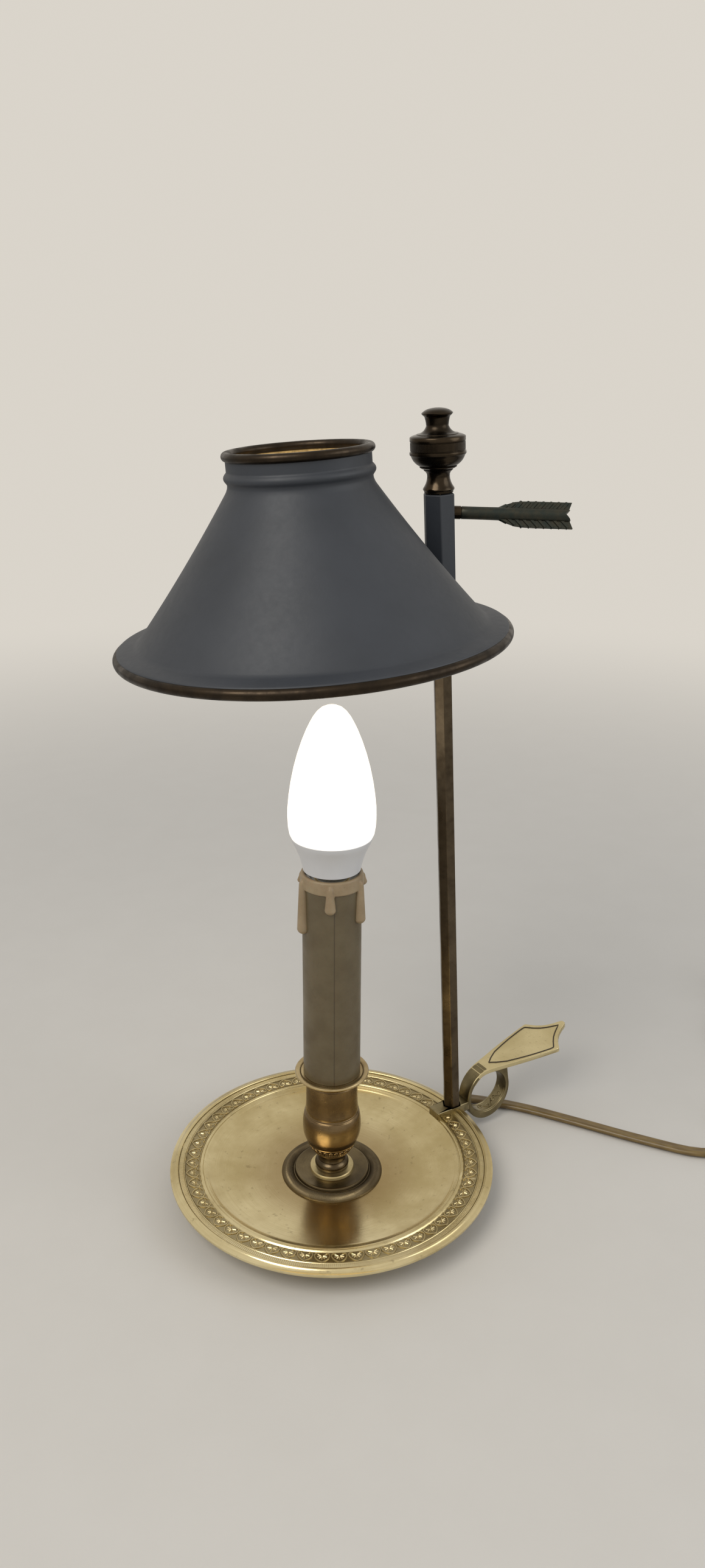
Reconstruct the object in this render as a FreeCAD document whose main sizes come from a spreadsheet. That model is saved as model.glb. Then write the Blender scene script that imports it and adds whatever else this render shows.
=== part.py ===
import FreeCAD, Part
import math
import operator
import os
import types

import Sketcher

# Bouillotte lamp: a turned brass saucer with a candle light at its centre, and a leaning hexagonal
# rod at its rim that carries a sliding metal shade, clamped by a key shaped like an arrow.
# Frame: origin on the table under the saucer's centre, +Z up, +X from the centre to the rod and
# handle, millimetres.  A turned outline holds (radius, height) corners.

DRIVING = {
    # saucer
    "saucer_edge_radius": 73.25,
    "edge_drop": 0.7,
    "rim_thickness": 3.0,
    "rim_rise": 6.7,
    "ridge_inset": 3.15,
    "ridge_rise": 0.4,
    "ridge_half_width": 0.8,
    "knurl_inset": 1.1,
    "knurl_width": 2.1,
    "border_gap": 0.8,
    "border_width": 5.8,
    "border_depth": 0.4,
    "bead_inset": 1.4,
    "bead_half_width": 0.7,
    "well_inset": 3.4,
    "well_drop": 1.9,
    "floor_margin": 0.13,
    "floor_top": 7.5,
    "floor_thickness": 1.5,
    "foot_inset": 8.5,
    "foot_wall": 3.0,
    # under the saucer
    "felt_thickness": 1.0,
    "felt_margin": 0.6,
    "weight_thickness": 3.4,
    "weight_margin": 1.5,
    "weight_bore": 11.0,
    # threaded tube and its nuts
    "tube_radius": 4.0,
    "tube_bore_radius": 3.0,
    "tube_clearance": 0.15,
    "tube_engagement": 7.0,
    "nut_across": 13.0,
    "nut_height": 2.0,
    "washer_radius": 8.4,
    "washer_thickness": 0.8,
    # boss and stem
    "boss_radius": 22.87,
    "boss_roll_radius": 2.6,
    "boss_roll_width": 5.47,
    "plate_step": 0.7,
    "plate_height": 2.34,
    "collar_radius": 10.0,
    "collar_height": 3.3,
    "stem_ball_radius": 7.56,
    "stem_foot_radius": 7.0,
    "stem_ball_rise": 1.3,
    "stem_neck_radius": 5.6,
    "stem_ball_height": 3.2,
    "stem_height": 8.4,
    # candle cup
    "cup_foot_radius": 8.3,
    "cup_belly_radius": 13.0,
    "cup_neck_radius": 11.45,
    "cup_belly_rise": 12.1,
    "cup_neck_rise": 16.7,
    "cup_floor": 3.6,
    "cup_cavity_radius": 9.3,
    "flange_radius": 16.3,
    "flange_rise": 13.35,
    "flange_thickness": 1.6,
    "flange_seat_depth": 0.75,
    "flange_groove_radius": 13.65,
    # candle
    "candle_radius": 12.5,
    "candle_wall": 1.2,
    "candle_length": 95.45,
    "drip_thickness": 0.58,
    "drip_skirt_height": 3.1,
    "drip_lip": 1.2,
    "drip_radius": 1.35,
    # lampholder
    "holder_fit": 0.3,
    "holder_wall": 1.5,
    "holder_length": 39.0,
    "holder_drop": 1.8,
    "holder_floor_rise": 11.5,
    "screw_shell_radius": 7.0,
    "screw_shell_wall": 0.5,
    "screw_shell_height": 19.0,
    "holder_recess": 2.0,
    "contact_drop": 20.0,
    "contact_gap": 0.3,
    # bulb
    "cap_clearance": 0.08,
    "cap_wall": 0.4,
    "cap_base_rise": 7.0,
    "cap_length": 15.7,
    "bulb_foot_radius": 12.0,
    "bulb_foot_rise": 1.7,
    "bulb_joint_inset": 1.3,
    "bulb_base_rise": 14.7,
    "bulb_radius": 18.1,
    "bulb_belly_rise": 8.9,
    "bulb_shoulder_radius": 7.5,
    "bulb_taper_rise": 39.5,
    "bulb_tip_rise": 5.3,
    "bulb_tip_flat": 0.6,
    "bulb_wall": 1.2,
    # handle
    "bar_width": 7.5,
    "bar_reach": 10.7,
    "notch_depth": 1.3,
    "bar_thickness": 4.6,
    "notch_clearance": 0.1,
    "ring_reach": 20.05,
    "ring_rise": 0.7,
    "ring_half_width": 12.9,
    "ring_half_height": 14.0,
    "finger_hole_radius": 10.8,
    "finger_hole_rise": 0.6,
    "leaf_start_inset": 4.25,
    "leaf_length": 40.6,
    "leaf_rise": 4.3,
    "leaf_half_width": 13.0,
    "leaf_tip_length": 14.4,
    "leaf_tip_rise": 3.7,
    "leaf_thickness": 2.2,
    # rod
    "rod_inset": 1.9,
    "rod_lean": 3.75,
    "rod_across": 7.1,
    "rod_socket_depth": 1.5,
    "rod_socket_clearance": 0.05,
    "finial_seat": 1.28,
    "stud_radius": 2.5,
    "stud_length": 12.0,
    "stud_clearance": 0.05,
    "rod_screw_radius": 2.0,
    "rod_screw_head_radius": 3.6,
    "rod_screw_head_height": 2.2,
    "rod_screw_grip": 8.0,
    "pin_inset": 2.5,
    "pin_radius": 1.0,
    # rod sleeve and its clamping key
    "sleeve_across": 11.4,
    "sleeve_length": 43.8,
    "sleeve_top": 289.8,
    "slide_clearance": 0.08,
    "key_drop": 7.2,
    "key_azimuth": -30.0,
    "key_droop": 5.0,
    "key_boss_radius": 2.6,
    "key_boss_length": 2.7,
    "key_thread_radius": 2.0,
    "key_clearance": 0.05,
    "key_shaft_radius": 2.55,
    "key_length": 53.2,
    "vane_start": 22.4,
    "vane_half_width": 5.4,
    "vane_thickness": 1.5,
    "vane_swell": 7.0,
    "vane_tilt": 60.0,
    "nock_depth": 3.5,
    # finial
    "finial_gap": 0.32,
    "finial_foot_radius": 6.1,
    "finial_neck_radius": 4.4,
    "finial_bowl_radius": 9.8,
    "finial_bead_radius": 11.0,
    "finial_knurl_radius": 10.7,
    "finial_shoulder_radius": 9.0,
    "finial_waist_radius": 4.3,
    "finial_cap_radius": 6.06,
    "finial_foot_edge": 1.4,
    "finial_neck_step": 4.2,
    "finial_bowl_foot": 2.5,
    "finial_bowl_step": 4.6,
    "finial_bead_slope": 1.3,
    "finial_bead_step": 1.4,
    "finial_knurl_gap": 0.5,
    "finial_knurl_step": 3.1,
    "finial_upper_gap": 0.4,
    "finial_upper_step": 1.7,
    "finial_shoulder_step": 0.8,
    "finial_waist_slope": 1.5,
    "finial_waist_step": 2.0,
    "finial_cap_flare": 3.2,
    "finial_cap_edge": 1.1,
    "finial_tip_flat": 0.6,
    "finial_cap_dome": 2.1,
    # shade
    "shade_reach": 75.93,
    "shade_centre_y": 0.69,
    "shade_drop": 10.57,
    "shade_lean": 4.35,
    "shade_lean_azimuth": 159.67,
    "shade_wall": 0.7,
    "shade_low_radius": 74.4,
    "shade_band_gap": 0.4,
    "shade_brim_width": 2.7,
    "shade_brim_rise": 0.65,
    "shade_flare_width": 4.9,
    "shade_flare_rise": 0.8,
    "shade_waist_step": 0.9,
    "shade_waist_drop": 3.2,
    "shade_neck_radius": 26.7,
    "shade_neck_height": 61.95,
    "shade_bead_rise": 1.26,
    "shade_bead_height": 4.0,
    "shade_collar_height": 9.65,
    "shade_hole_clearance": 0.15,
    "low_roll_radius": 2.1,
    "top_roll_radius": 1.7,
    "roll_clearance": 0.05,
    # mains lead: a flat twin cord
    "cord_width": 5.4,
    "cord_thickness": 2.8,
    "cord_exit_azimuth": 20.0,
    "cord_exit_height": 3.1,
    "cord_end_inset": 10.0,
    "relief_length": 21.0,
    "relief_flange": 1.6,
    "relief_flange_width": 10.0,
    "relief_flange_height": 4.6,
    "relief_flange_setback": 0.75,
    "relief_wall": 1.0,
    "relief_clearance": 0.05,
    "wire_radius": 0.8,
    "wire_spacing": 2.6,
    "wire_bend_radius": 3.4,
    # in-line switch
    "switch_start": 196.0,
    "switch_row": -85.3,
    "switch_length": 52.0,
    "switch_width": 21.0,
    "switch_bottom": 0.3,
    "switch_base_height": 5.2,
    "switch_cover_height": 8.0,
    "switch_wall": 1.6,
    "switch_port_height": 3.6,
    "port_clearance": 0.3,
    "rocker_length": 15.0,
    "rocker_width": 8.0,
    "rocker_gap": 0.7,
    "rocker_pivot_depth": 2.6,
    "rocker_pin_radius": 0.9,
    "rocker_rise": 1.6,
    "rocker_tilt": 9.0,
    "switch_screw_radius": 1.3,
    "switch_screw_inset": 7.5,
    "switch_screw_offset": 5.0,
    "switch_contact_width": 2.0,
    "switch_contact_thickness": 1.2,
    "switch_contact_height": 7.0,
    "switch_contact_gap": 8.0,
    # coil of put-away cord
    "link_length": 28.0,
    "coil_lead_in": 8.0,
    "coil_outer_radius": 44.5,
    "coil_pitch": 5.9,
    "coil_inner_dip": 2.4,
    "coil_layer_rise": 4.4,
    "coil_height": 1.7,
    "coil_turn_in_radius": 28.0,
    "coil_lead_out": 5.6,
    # plug
    "plug_bottom": 7.8,
    "plug_thickness": 13.7,
    "plug_width": 34.0,
    "plug_length": 32.0,
    "plug_boot_length": 21.0,
    "plug_pin_radius": 2.0,
    "plug_pin_length": 19.0,
    "plug_pin_spacing": 19.0,
}

COIL_LOWER_TURNS = 3.5
COIL_UPPER_TURNS = 2.75

# (azimuth in degrees, reach below the candle's top in drip radii) of each wax drip
DRIPS = ((170.8, 18.1), (-124.7, 8.9), (-59.0, 14.4), (15.0, 11.7), (95.0, 16.5))

# The free lead's route on the table, chosen by hand: (x, y, height)
LEAD_ROUTE = (
    (77.05, 28.05, 3.1),
    (106.0, 3.0, 1.7),
    (126.4, -28.9, 1.7),
    (140.7, -52.6, 1.7),
    (163.0, -85.3, 1.7),
)

LEFT = 1
RIGHT = -1
OPERATIONS = {"+": operator.add, "-": operator.sub, "*": operator.mul, "/": operator.truediv}

doc = FreeCAD.newDocument("bouillotte_lamp")
sheet = doc.addObject("Spreadsheet::Sheet", "Sizes")
nodes = {}


class Size:
    """A size that keeps its number together with its formula in the sheet."""

    def __init__(self, number, formula):
        self.number = number
        self.formula = formula

    def __add__(self, other):
        return joined(self, "+", other)

    def __sub__(self, other):
        return joined(self, "-", other)

    def __mul__(self, other):
        return joined(self, "*", other)

    def __truediv__(self, other):
        return joined(self, "/", other)

    def __neg__(self):
        return joined(0.0, "-", self)


def as_size(value):
    return value if isinstance(value, Size) else Size(float(value), "(%r)" % float(value))


def joined(left, sign, right):
    left, right = as_size(left), as_size(right)
    number = OPERATIONS[sign](left.number, right.number)
    return Size(number, "(%s %s %s)" % (left.formula, sign, right.formula))


def fill_sheet():
    for row, (name, value) in enumerate(DRIVING.items(), start=1):
        sheet.set("A%d" % row, name.replace("_", " "))
        sheet.set("B%d" % row, str(value))
        sheet.setAlias("B%d" % row, name)
    doc.recompute()


fill_sheet()
dim = types.SimpleNamespace(**{name: Size(value, "Sizes." + name) for name, value in DRIVING.items()})


def tie_sizes():
    """Every size that follows from others, so that one change moves all that stands on it."""
    dim.ridge_radius = dim.saucer_edge_radius - dim.ridge_inset
    dim.knurl_outer_radius = dim.ridge_radius - dim.knurl_inset
    dim.knurl_inner_radius = dim.knurl_outer_radius - dim.knurl_width
    dim.border_outer_radius = dim.knurl_inner_radius - dim.border_gap
    dim.border_inner_radius = dim.border_outer_radius - dim.border_width
    dim.bead_radius = dim.border_inner_radius - dim.bead_inset
    dim.well_edge_radius = dim.bead_radius - dim.well_inset
    dim.floor_radius = dim.boss_radius + dim.floor_margin
    dim.rim_top_height = dim.floor_top + dim.rim_rise
    dim.rim_under_height = dim.rim_top_height - dim.rim_thickness
    dim.saucer_edge_height = dim.rim_top_height - dim.edge_drop
    dim.well_edge_height = dim.rim_top_height - dim.well_drop
    dim.foot_radius = dim.well_edge_radius - dim.foot_inset
    dim.weight_radius = dim.foot_radius - dim.foot_wall - dim.weight_margin
    dim.cord_end_radius = dim.foot_radius - dim.cord_end_inset
    dim.boss_roll_inner = dim.boss_radius - dim.boss_roll_width
    dim.plate_radius = dim.boss_roll_inner - dim.plate_step
    dim.cup_low = dim.floor_top + dim.collar_height + dim.stem_height
    dim.cup_belly_height = dim.cup_low + dim.cup_belly_rise
    dim.cup_neck_height = dim.cup_belly_height + dim.cup_neck_rise
    dim.flange_height = dim.cup_neck_height + dim.flange_rise
    dim.candle_top = dim.flange_height + dim.candle_length
    dim.holder_radius = dim.candle_radius - dim.candle_wall - dim.holder_fit
    dim.holder_top = dim.candle_top - dim.holder_drop
    dim.holder_base = dim.holder_top - dim.holder_length
    dim.holder_floor = dim.holder_base + dim.holder_floor_rise
    dim.tube_top = dim.holder_base + dim.tube_engagement
    dim.contact_top = dim.holder_top - dim.contact_drop
    dim.cap_base = dim.contact_top + dim.cap_base_rise
    dim.cap_top = dim.cap_base + dim.cap_length
    dim.bulb_foot_height = dim.cap_top + dim.bulb_foot_rise
    dim.bulb_joint_radius = dim.bulb_radius - dim.bulb_joint_inset
    dim.bulb_joint_height = dim.bulb_foot_height + dim.bulb_base_rise
    dim.bulb_widest_height = dim.bulb_joint_height + dim.bulb_belly_rise
    dim.bulb_shoulder_height = dim.bulb_widest_height + dim.bulb_taper_rise
    dim.bulb_tip_height = dim.bulb_shoulder_height + dim.bulb_tip_rise
    dim.bar_bottom = dim.rim_top_height - dim.notch_depth
    dim.bar_top = dim.bar_bottom + dim.bar_thickness
    dim.rod_foot = dim.ridge_radius - dim.rod_inset
    dim.bar_inner_end = dim.rod_foot - dim.bar_reach
    dim.pin_place = dim.bar_inner_end + dim.pin_inset
    dim.ring_centre = dim.rod_foot + dim.ring_reach
    dim.ring_height = dim.bar_top + dim.ring_rise
    dim.finger_hole_height = dim.ring_height + dim.finger_hole_rise
    dim.leaf_start = dim.ring_centre - dim.leaf_start_inset
    dim.leaf_start_height = dim.ring_height + dim.ring_half_height
    dim.leaf_shoulder = dim.leaf_start + dim.leaf_length
    dim.leaf_shoulder_height = dim.leaf_start_height + dim.leaf_rise
    dim.leaf_tip = dim.leaf_shoulder + dim.leaf_tip_length
    dim.leaf_tip_height = dim.leaf_shoulder_height + dim.leaf_tip_rise
    dim.sleeve_bottom = dim.sleeve_top - dim.sleeve_length
    dim.key_height = dim.sleeve_top - dim.key_drop
    dim.finial_foot = dim.sleeve_top + dim.finial_gap
    dim.rod_shoulder = dim.finial_foot + dim.finial_seat
    dim.shade_centre_x = dim.rod_foot - dim.shade_reach
    dim.shade_height = dim.bar_top + dim.sleeve_bottom - dim.shade_drop
    dim.shade_top_height = dim.shade_neck_height + dim.shade_collar_height
    dim.shade_band_height = dim.low_roll_radius * 2 + dim.shade_band_gap
    dim.shade_brim_radius = dim.shade_low_radius - dim.shade_brim_width
    dim.shade_brim_height = dim.shade_band_height + dim.shade_brim_rise
    dim.shade_flare_radius = dim.shade_brim_radius - dim.shade_flare_width
    dim.shade_flare_height = dim.shade_brim_height + dim.shade_flare_rise
    dim.shade_waist_radius = dim.shade_neck_radius + dim.shade_waist_step
    dim.shade_waist_height = dim.shade_neck_height - dim.shade_waist_drop
    dim.finial_foot_rise = dim.finial_foot + dim.finial_foot_edge
    dim.finial_neck_rise = dim.finial_foot_rise + dim.finial_neck_step
    dim.finial_bowl_low = dim.finial_neck_rise + dim.finial_bowl_foot
    dim.finial_bowl_high = dim.finial_bowl_low + dim.finial_bowl_step
    dim.finial_bead_low = dim.finial_bowl_high + dim.finial_bead_slope
    dim.finial_bead_high = dim.finial_bead_low + dim.finial_bead_step
    dim.finial_knurl_low = dim.finial_bead_high + dim.finial_knurl_gap
    dim.finial_knurl_high = dim.finial_knurl_low + dim.finial_knurl_step
    dim.finial_upper_bead_low = dim.finial_knurl_high + dim.finial_upper_gap
    dim.finial_upper_bead_high = dim.finial_upper_bead_low + dim.finial_upper_step
    dim.finial_shoulder_rise = dim.finial_upper_bead_high + dim.finial_shoulder_step
    dim.finial_waist_low = dim.finial_shoulder_rise + dim.finial_waist_slope
    dim.finial_waist_high = dim.finial_waist_low + dim.finial_waist_step
    dim.finial_cap_low = dim.finial_waist_high + dim.finial_cap_flare
    dim.finial_cap_rise = dim.finial_cap_low + dim.finial_cap_edge
    dim.finial_top = dim.finial_cap_rise + dim.finial_cap_dome


tie_sizes()


# Helpers for objects of the document

def bind(thing, name, size):
    size = as_size(size)
    setattr(thing, name, size.number)
    thing.setExpression(name, size.formula)


def place(thing, base, rotation=None):
    thing.Placement = FreeCAD.Placement(FreeCAD.Vector(*base), rotation or FreeCAD.Rotation())
    return thing


def keep(name, thing):
    """Give the finished sub-part its own label, which names its file."""
    thing.Label = name
    nodes[name] = thing
    return thing


def new_body(name):
    return doc.addObject("PartDesign::Body", name)


def new_sketch(body, role, lift=0.0):
    sketch = body.newObject("Sketcher::SketchObject", body.Name + "_outline")
    plane = next(item for item in body.Origin.OriginFeatures if item.Role == role)
    sketch.AttachmentSupport = [(plane, "")]
    sketch.MapMode = "FlatFace"
    bind_offset(sketch, lift)
    return sketch


def bind_offset(sketch, lift):
    lift = as_size(lift)
    sketch.AttachmentOffset = FreeCAD.Placement(FreeCAD.Vector(0, 0, lift.number), FreeCAD.Rotation())
    sketch.setExpression("AttachmentOffset.Base.z", lift.formula)


def hold(sketch, kind, *where_and_size):
    """Add a dimension to the sketch and tie it to the sheet."""
    *where, size = where_and_size
    size = as_size(size)
    index = sketch.addConstraint(Sketcher.Constraint(kind, *where, size.number))
    sketch.setExpression("Constraints[%d]" % index, size.formula)


def bent_edge(start, end, radius, side):
    """The short arc from start to end with its centre on the given side of the way."""
    chord = end - start
    middle = (start + end) * 0.5
    across = FreeCAD.Vector(-chord.y, chord.x, 0).normalize()
    reach = math.sqrt(radius * radius - chord.Length * chord.Length / 4)
    centre = middle + across * reach * side
    circle = Part.Circle(centre, FreeCAD.Vector(0, 0, 1), radius)
    first, last = (start, end) if side == LEFT else (end, start)
    return Part.ArcOfCircle(circle, circle.parameter(first), circle.parameter(last))


def draw_outline(sketch, corners):
    """Close an outline through (x, y) corners; (x, y, radius, side) bends the edge that follows."""
    points = [(as_size(corner[0]), as_size(corner[1])) for corner in corners]
    places = [FreeCAD.Vector(x.number, y.number, 0) for x, y in points]
    ends = []
    for index, corner in enumerate(corners):
        start = places[index]
        end = places[(index + 1) % len(places)]
        if len(corner) == 4:
            radius, side = as_size(corner[2]), corner[3]
            edge = sketch.addGeometry(bent_edge(start, end, radius.number, side), False)
            ends.append((edge, 1, 2) if side == LEFT else (edge, 2, 1))
        else:
            edge = sketch.addGeometry(Part.LineSegment(start, end), False)
            ends.append((edge, 1, 2))
    for index, (x, y) in enumerate(points):
        edge, first, last = ends[index]
        hold(sketch, "DistanceX", edge, first, x)
        hold(sketch, "DistanceY", edge, first, y)
        following, following_first, _ = ends[(index + 1) % len(ends)]
        sketch.addConstraint(Sketcher.Constraint("Coincident", edge, last, following, following_first))
        if len(corners[index]) == 4:
            hold(sketch, "Radius", edge, corners[index][2])


def draw_circle(sketch, x, y, radius):
    x, y, radius = as_size(x), as_size(y), as_size(radius)
    centre = FreeCAD.Vector(x.number, y.number, 0)
    edge = sketch.addGeometry(Part.Circle(centre, FreeCAD.Vector(0, 0, 1), radius.number), False)
    hold(sketch, "DistanceX", edge, 3, x)
    hold(sketch, "DistanceY", edge, 3, y)
    hold(sketch, "Radius", edge, radius)


def draw_box(sketch, low_x, low_y, high_x, high_y):
    draw_outline(sketch, [(low_x, low_y), (high_x, low_y), (high_x, high_y), (low_x, high_y)])


def turned(name, corners, axis="V_Axis"):
    """A body turned about its own Z axis (X axis with H_Axis) from one closed outline."""
    body = new_body(name)
    sketch = new_sketch(body, "XZ_Plane")
    draw_outline(sketch, corners)
    turn(body, sketch, axis)
    return body


def turn(body, sketch, axis="V_Axis", kind="PartDesign::Revolution"):
    """Turn the sketch about its own axis, to add to the body or to groove it."""
    feature = body.newObject(kind, body.Name + "_turning")
    feature.Profile = sketch
    feature.ReferenceAxis = (sketch, [axis])
    feature.Angle = 360
    doc.recompute()


def pad(body, sketch, length, both_ways=False):
    feature = body.newObject("PartDesign::Pad", body.Name + "_pad")
    feature.Profile = sketch
    feature.SideType = "Symmetric" if both_ways else "One side"
    bind(feature, "Length", length)
    doc.recompute()
    return feature


def pocket_through(body, sketch, towards_normal=True):
    """Cut the sketch away to one side, and check that something was cut."""
    before = body.Shape.Volume
    feature = body.newObject("PartDesign::Pocket", body.Name + "_pocket")
    feature.Profile = sketch
    feature.Type = "ThroughAll"
    feature.Reversed = towards_normal
    doc.recompute()
    if body.Shape.Volume >= before:
        raise ValueError("the pocket in %s cuts nothing" % body.Name)
    return feature


def cylinder(name, radius, height, base=(0, 0, 0), rotation=None):
    thing = doc.addObject("Part::Cylinder", name)
    bind(thing, "Radius", radius)
    bind(thing, "Height", height)
    return place(thing, [as_size(value).number for value in base], rotation)


def box(name, length, width, height, base):
    thing = doc.addObject("Part::Box", name)
    bind(thing, "Length", length)
    bind(thing, "Width", width)
    bind(thing, "Height", height)
    return place(thing, [as_size(value).number for value in base])


def hex_prism(name, across, height):
    thing = doc.addObject("Part::Prism", name)
    thing.Polygon = 6
    bind(thing, "Circumradius", across / math.sqrt(3))
    bind(thing, "Height", height)
    return thing


def cut(name, base, *tools):
    for index, tool in enumerate(tools):
        result = doc.addObject("Part::Cut", "%s_cut_%d" % (name, index))
        result.Base = base
        result.Tool = tool
        base = result
    doc.recompute()
    return base


def fuse(name, *pieces):
    result = doc.addObject("Part::MultiFuse", name + "_fused")
    result.Shapes = list(pieces)
    doc.recompute()
    return result


def shaped(name, shape, placement=None):
    thing = doc.addObject("Part::Feature", name + "_shape")
    thing.Shape = shape
    if placement:
        thing.Placement = placement
    return thing


def ring_corners(inner, outer, low, high):
    return [(inner, low), (outer, low), (outer, high), (inner, high)]


def bend_over(half_chord, rise):
    """The radius of an arc that rises so far over half its chord."""
    return (half_chord * half_chord + rise * rise) / (rise * 2)


# The leaning frames of the rod, the shade and the key

def rod_frame(rise=0.0):
    """On the rod's axis, a rise above the bar along the lean."""
    rotation = FreeCAD.Rotation(FreeCAD.Vector(0, 1, 0), -dim.rod_lean.number)
    foot = FreeCAD.Vector(dim.rod_foot.number, 0, dim.bar_top.number)
    along = rotation.multVec(FreeCAD.Vector(0, 0, as_size(rise).number))
    return FreeCAD.Placement(foot + along, rotation)


def key_frame():
    """Its X axis leaves the rod's axis along the key."""
    swing = FreeCAD.Rotation(FreeCAD.Vector(0, 0, 1), dim.key_azimuth.number)
    droop = FreeCAD.Rotation(FreeCAD.Vector(0, 1, 0), dim.key_droop.number)
    return rod_frame(dim.key_height).multiply(FreeCAD.Placement(FreeCAD.Vector(), swing.multiply(droop)))


def shade_frame():
    azimuth = math.radians(dim.shade_lean_azimuth.number)
    hinge = FreeCAD.Vector(-math.sin(azimuth), math.cos(azimuth), 0)
    base = FreeCAD.Vector(dim.shade_centre_x.number, dim.shade_centre_y.number, dim.shade_height.number)
    return FreeCAD.Placement(base, FreeCAD.Rotation(hinge, dim.shade_lean.number))


# Saucer and foot

def rod_screw_hole(name):
    hole = cylinder(name, dim.rod_screw_radius + dim.tube_clearance, dim.bar_top)
    hole.Placement = rod_frame(-dim.bar_top)
    return hole


def locating_pin_hole(name):
    return cylinder(name, dim.pin_radius, dim.bar_top, (dim.pin_place, 0, 0))


def make_saucer():
    floor_under = dim.floor_top - dim.floor_thickness
    foot_inner = dim.foot_radius - dim.foot_wall
    bore = dim.tube_radius + dim.tube_clearance
    rise = dim.well_edge_height - dim.floor_top
    run = dim.well_edge_radius - dim.floor_radius
    well_bend = bend_over(run, rise)
    border_floor = dim.rim_top_height - dim.border_depth
    ridge_low = dim.rim_top_height + dim.border_depth
    ridge_bend = bend_over(dim.ridge_half_width, dim.ridge_rise)
    edge_inner = dim.saucer_edge_radius - dim.ridge_half_width / 2
    body = turned("saucer_turning", [
        (bore, floor_under),
        (dim.floor_radius, floor_under),
        (foot_inner, floor_under + rise / 3),
        (foot_inner, dim.felt_thickness),
        (dim.foot_radius, dim.felt_thickness),
        (dim.foot_radius, floor_under + rise / 2),
        (dim.well_edge_radius, dim.well_edge_height - dim.floor_thickness),
        (dim.well_edge_radius + dim.bead_half_width * 2, dim.rim_under_height),
        (dim.ridge_radius, dim.rim_under_height),
        (edge_inner, dim.saucer_edge_height - dim.ridge_half_width, dim.ridge_half_width, LEFT),
        (edge_inner, dim.saucer_edge_height + dim.ridge_half_width / 2),
        (dim.ridge_radius + dim.ridge_half_width, ridge_low, ridge_bend, LEFT),
        (dim.ridge_radius - dim.ridge_half_width, ridge_low),
        (dim.knurl_outer_radius, dim.rim_top_height - dim.border_depth),
        (dim.knurl_outer_radius, dim.rim_top_height),
        (dim.knurl_inner_radius, dim.rim_top_height),
        (dim.border_outer_radius, dim.rim_top_height),
        (dim.border_outer_radius, border_floor),
        (dim.border_inner_radius, border_floor),
        (dim.bead_radius + dim.bead_half_width, border_floor, dim.bead_half_width * 1.2, LEFT),
        (dim.bead_radius - dim.bead_half_width, border_floor),
        (dim.well_edge_radius + dim.bead_half_width * 2, border_floor - dim.border_depth),
        (dim.well_edge_radius, dim.well_edge_height, well_bend, RIGHT),
        (dim.floor_radius, dim.floor_top),
        (bore, dim.floor_top),
    ])
    notch = new_sketch(body, "XY_Plane", dim.bar_bottom)
    half = dim.bar_width / 2 + dim.notch_clearance
    reach = dim.saucer_edge_radius + dim.bar_width
    draw_box(notch, dim.bar_inner_end - dim.notch_clearance, -half, reach, half)
    pocket_through(body, notch)
    keep("saucer", cut("saucer", body, rod_screw_hole("rim_screw_hole"), locating_pin_hole("rim_pin_hole"),
                       relief_opening()))


def make_felt_pad():
    radius = dim.foot_radius - dim.felt_margin
    keep("felt_pad", cylinder("felt_pad", radius, dim.felt_thickness))


def exit_turn():
    return FreeCAD.Rotation(FreeCAD.Vector(0, 0, 1), dim.cord_exit_azimuth.number)


def exit_place(radius, height=0.0):
    """A point on the line along which the cord leaves the foot."""
    return exit_turn().multVec(FreeCAD.Vector(as_size(radius).number, 0, as_size(height).number))


def make_base_weight():
    weight = turned("weight_turning", ring_corners(
        dim.weight_bore, dim.weight_radius,
        dim.felt_thickness, dim.felt_thickness + dim.weight_thickness))
    slot_width = dim.relief_flange_width + dim.cord_thickness
    slot = box("weight_slot", dim.weight_radius, slot_width, dim.weight_thickness * 3, (0, 0, 0))
    corner = exit_turn().multVec(FreeCAD.Vector(0, -slot_width.number / 2, 0))
    slot.Placement = FreeCAD.Placement(corner, exit_turn())
    keep("base_weight", cut("base_weight", weight, slot))


# Threaded tube, nuts and washer

def nut(name, low):
    hexagon = hex_prism(name + "_hexagon", dim.nut_across, dim.nut_height)
    place(hexagon, (0, 0, low.number))
    bore = cylinder(name + "_bore", dim.tube_radius + dim.tube_clearance / 3, dim.nut_height * 3,
                    (0, 0, low - dim.nut_height))
    keep(name, cut(name, hexagon, bore))


def make_centre_fixing():
    floor_under = dim.floor_top - dim.floor_thickness
    cup_floor_top = dim.cup_low + dim.cup_floor
    nut("bottom_nut", floor_under - dim.nut_height)
    keep("cup_washer", turned("cup_washer", ring_corners(
        dim.tube_radius + dim.tube_clearance, dim.washer_radius,
        cup_floor_top, cup_floor_top + dim.washer_thickness)))
    nut("cup_nut", cup_floor_top + dim.washer_thickness)
    keep("threaded_tube", turned("threaded_tube", ring_corners(
        dim.tube_bore_radius, dim.tube_radius, floor_under - dim.nut_height, dim.tube_top)))


# Boss, stem and candle cup

def make_boss():
    bore = dim.tube_radius + dim.tube_clearance
    low = dim.floor_top
    plate = low + dim.plate_height
    keep("boss", turned("boss", [
        (bore, low),
        (dim.boss_radius, low),
        (dim.boss_radius - dim.border_depth, low + dim.border_depth * 2, dim.boss_roll_radius * 1.1, LEFT),
        (dim.boss_roll_inner, low + dim.border_depth * 3),
        (dim.plate_radius, plate - dim.border_depth),
        (dim.plate_radius - dim.border_depth, plate),
        (dim.collar_radius + dim.border_depth, plate - dim.border_depth * 1.5),
        (dim.collar_radius, low + dim.collar_height - dim.border_depth),
        (dim.collar_radius - dim.border_depth, low + dim.collar_height),
        (bore, low + dim.collar_height),
    ]))


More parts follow.
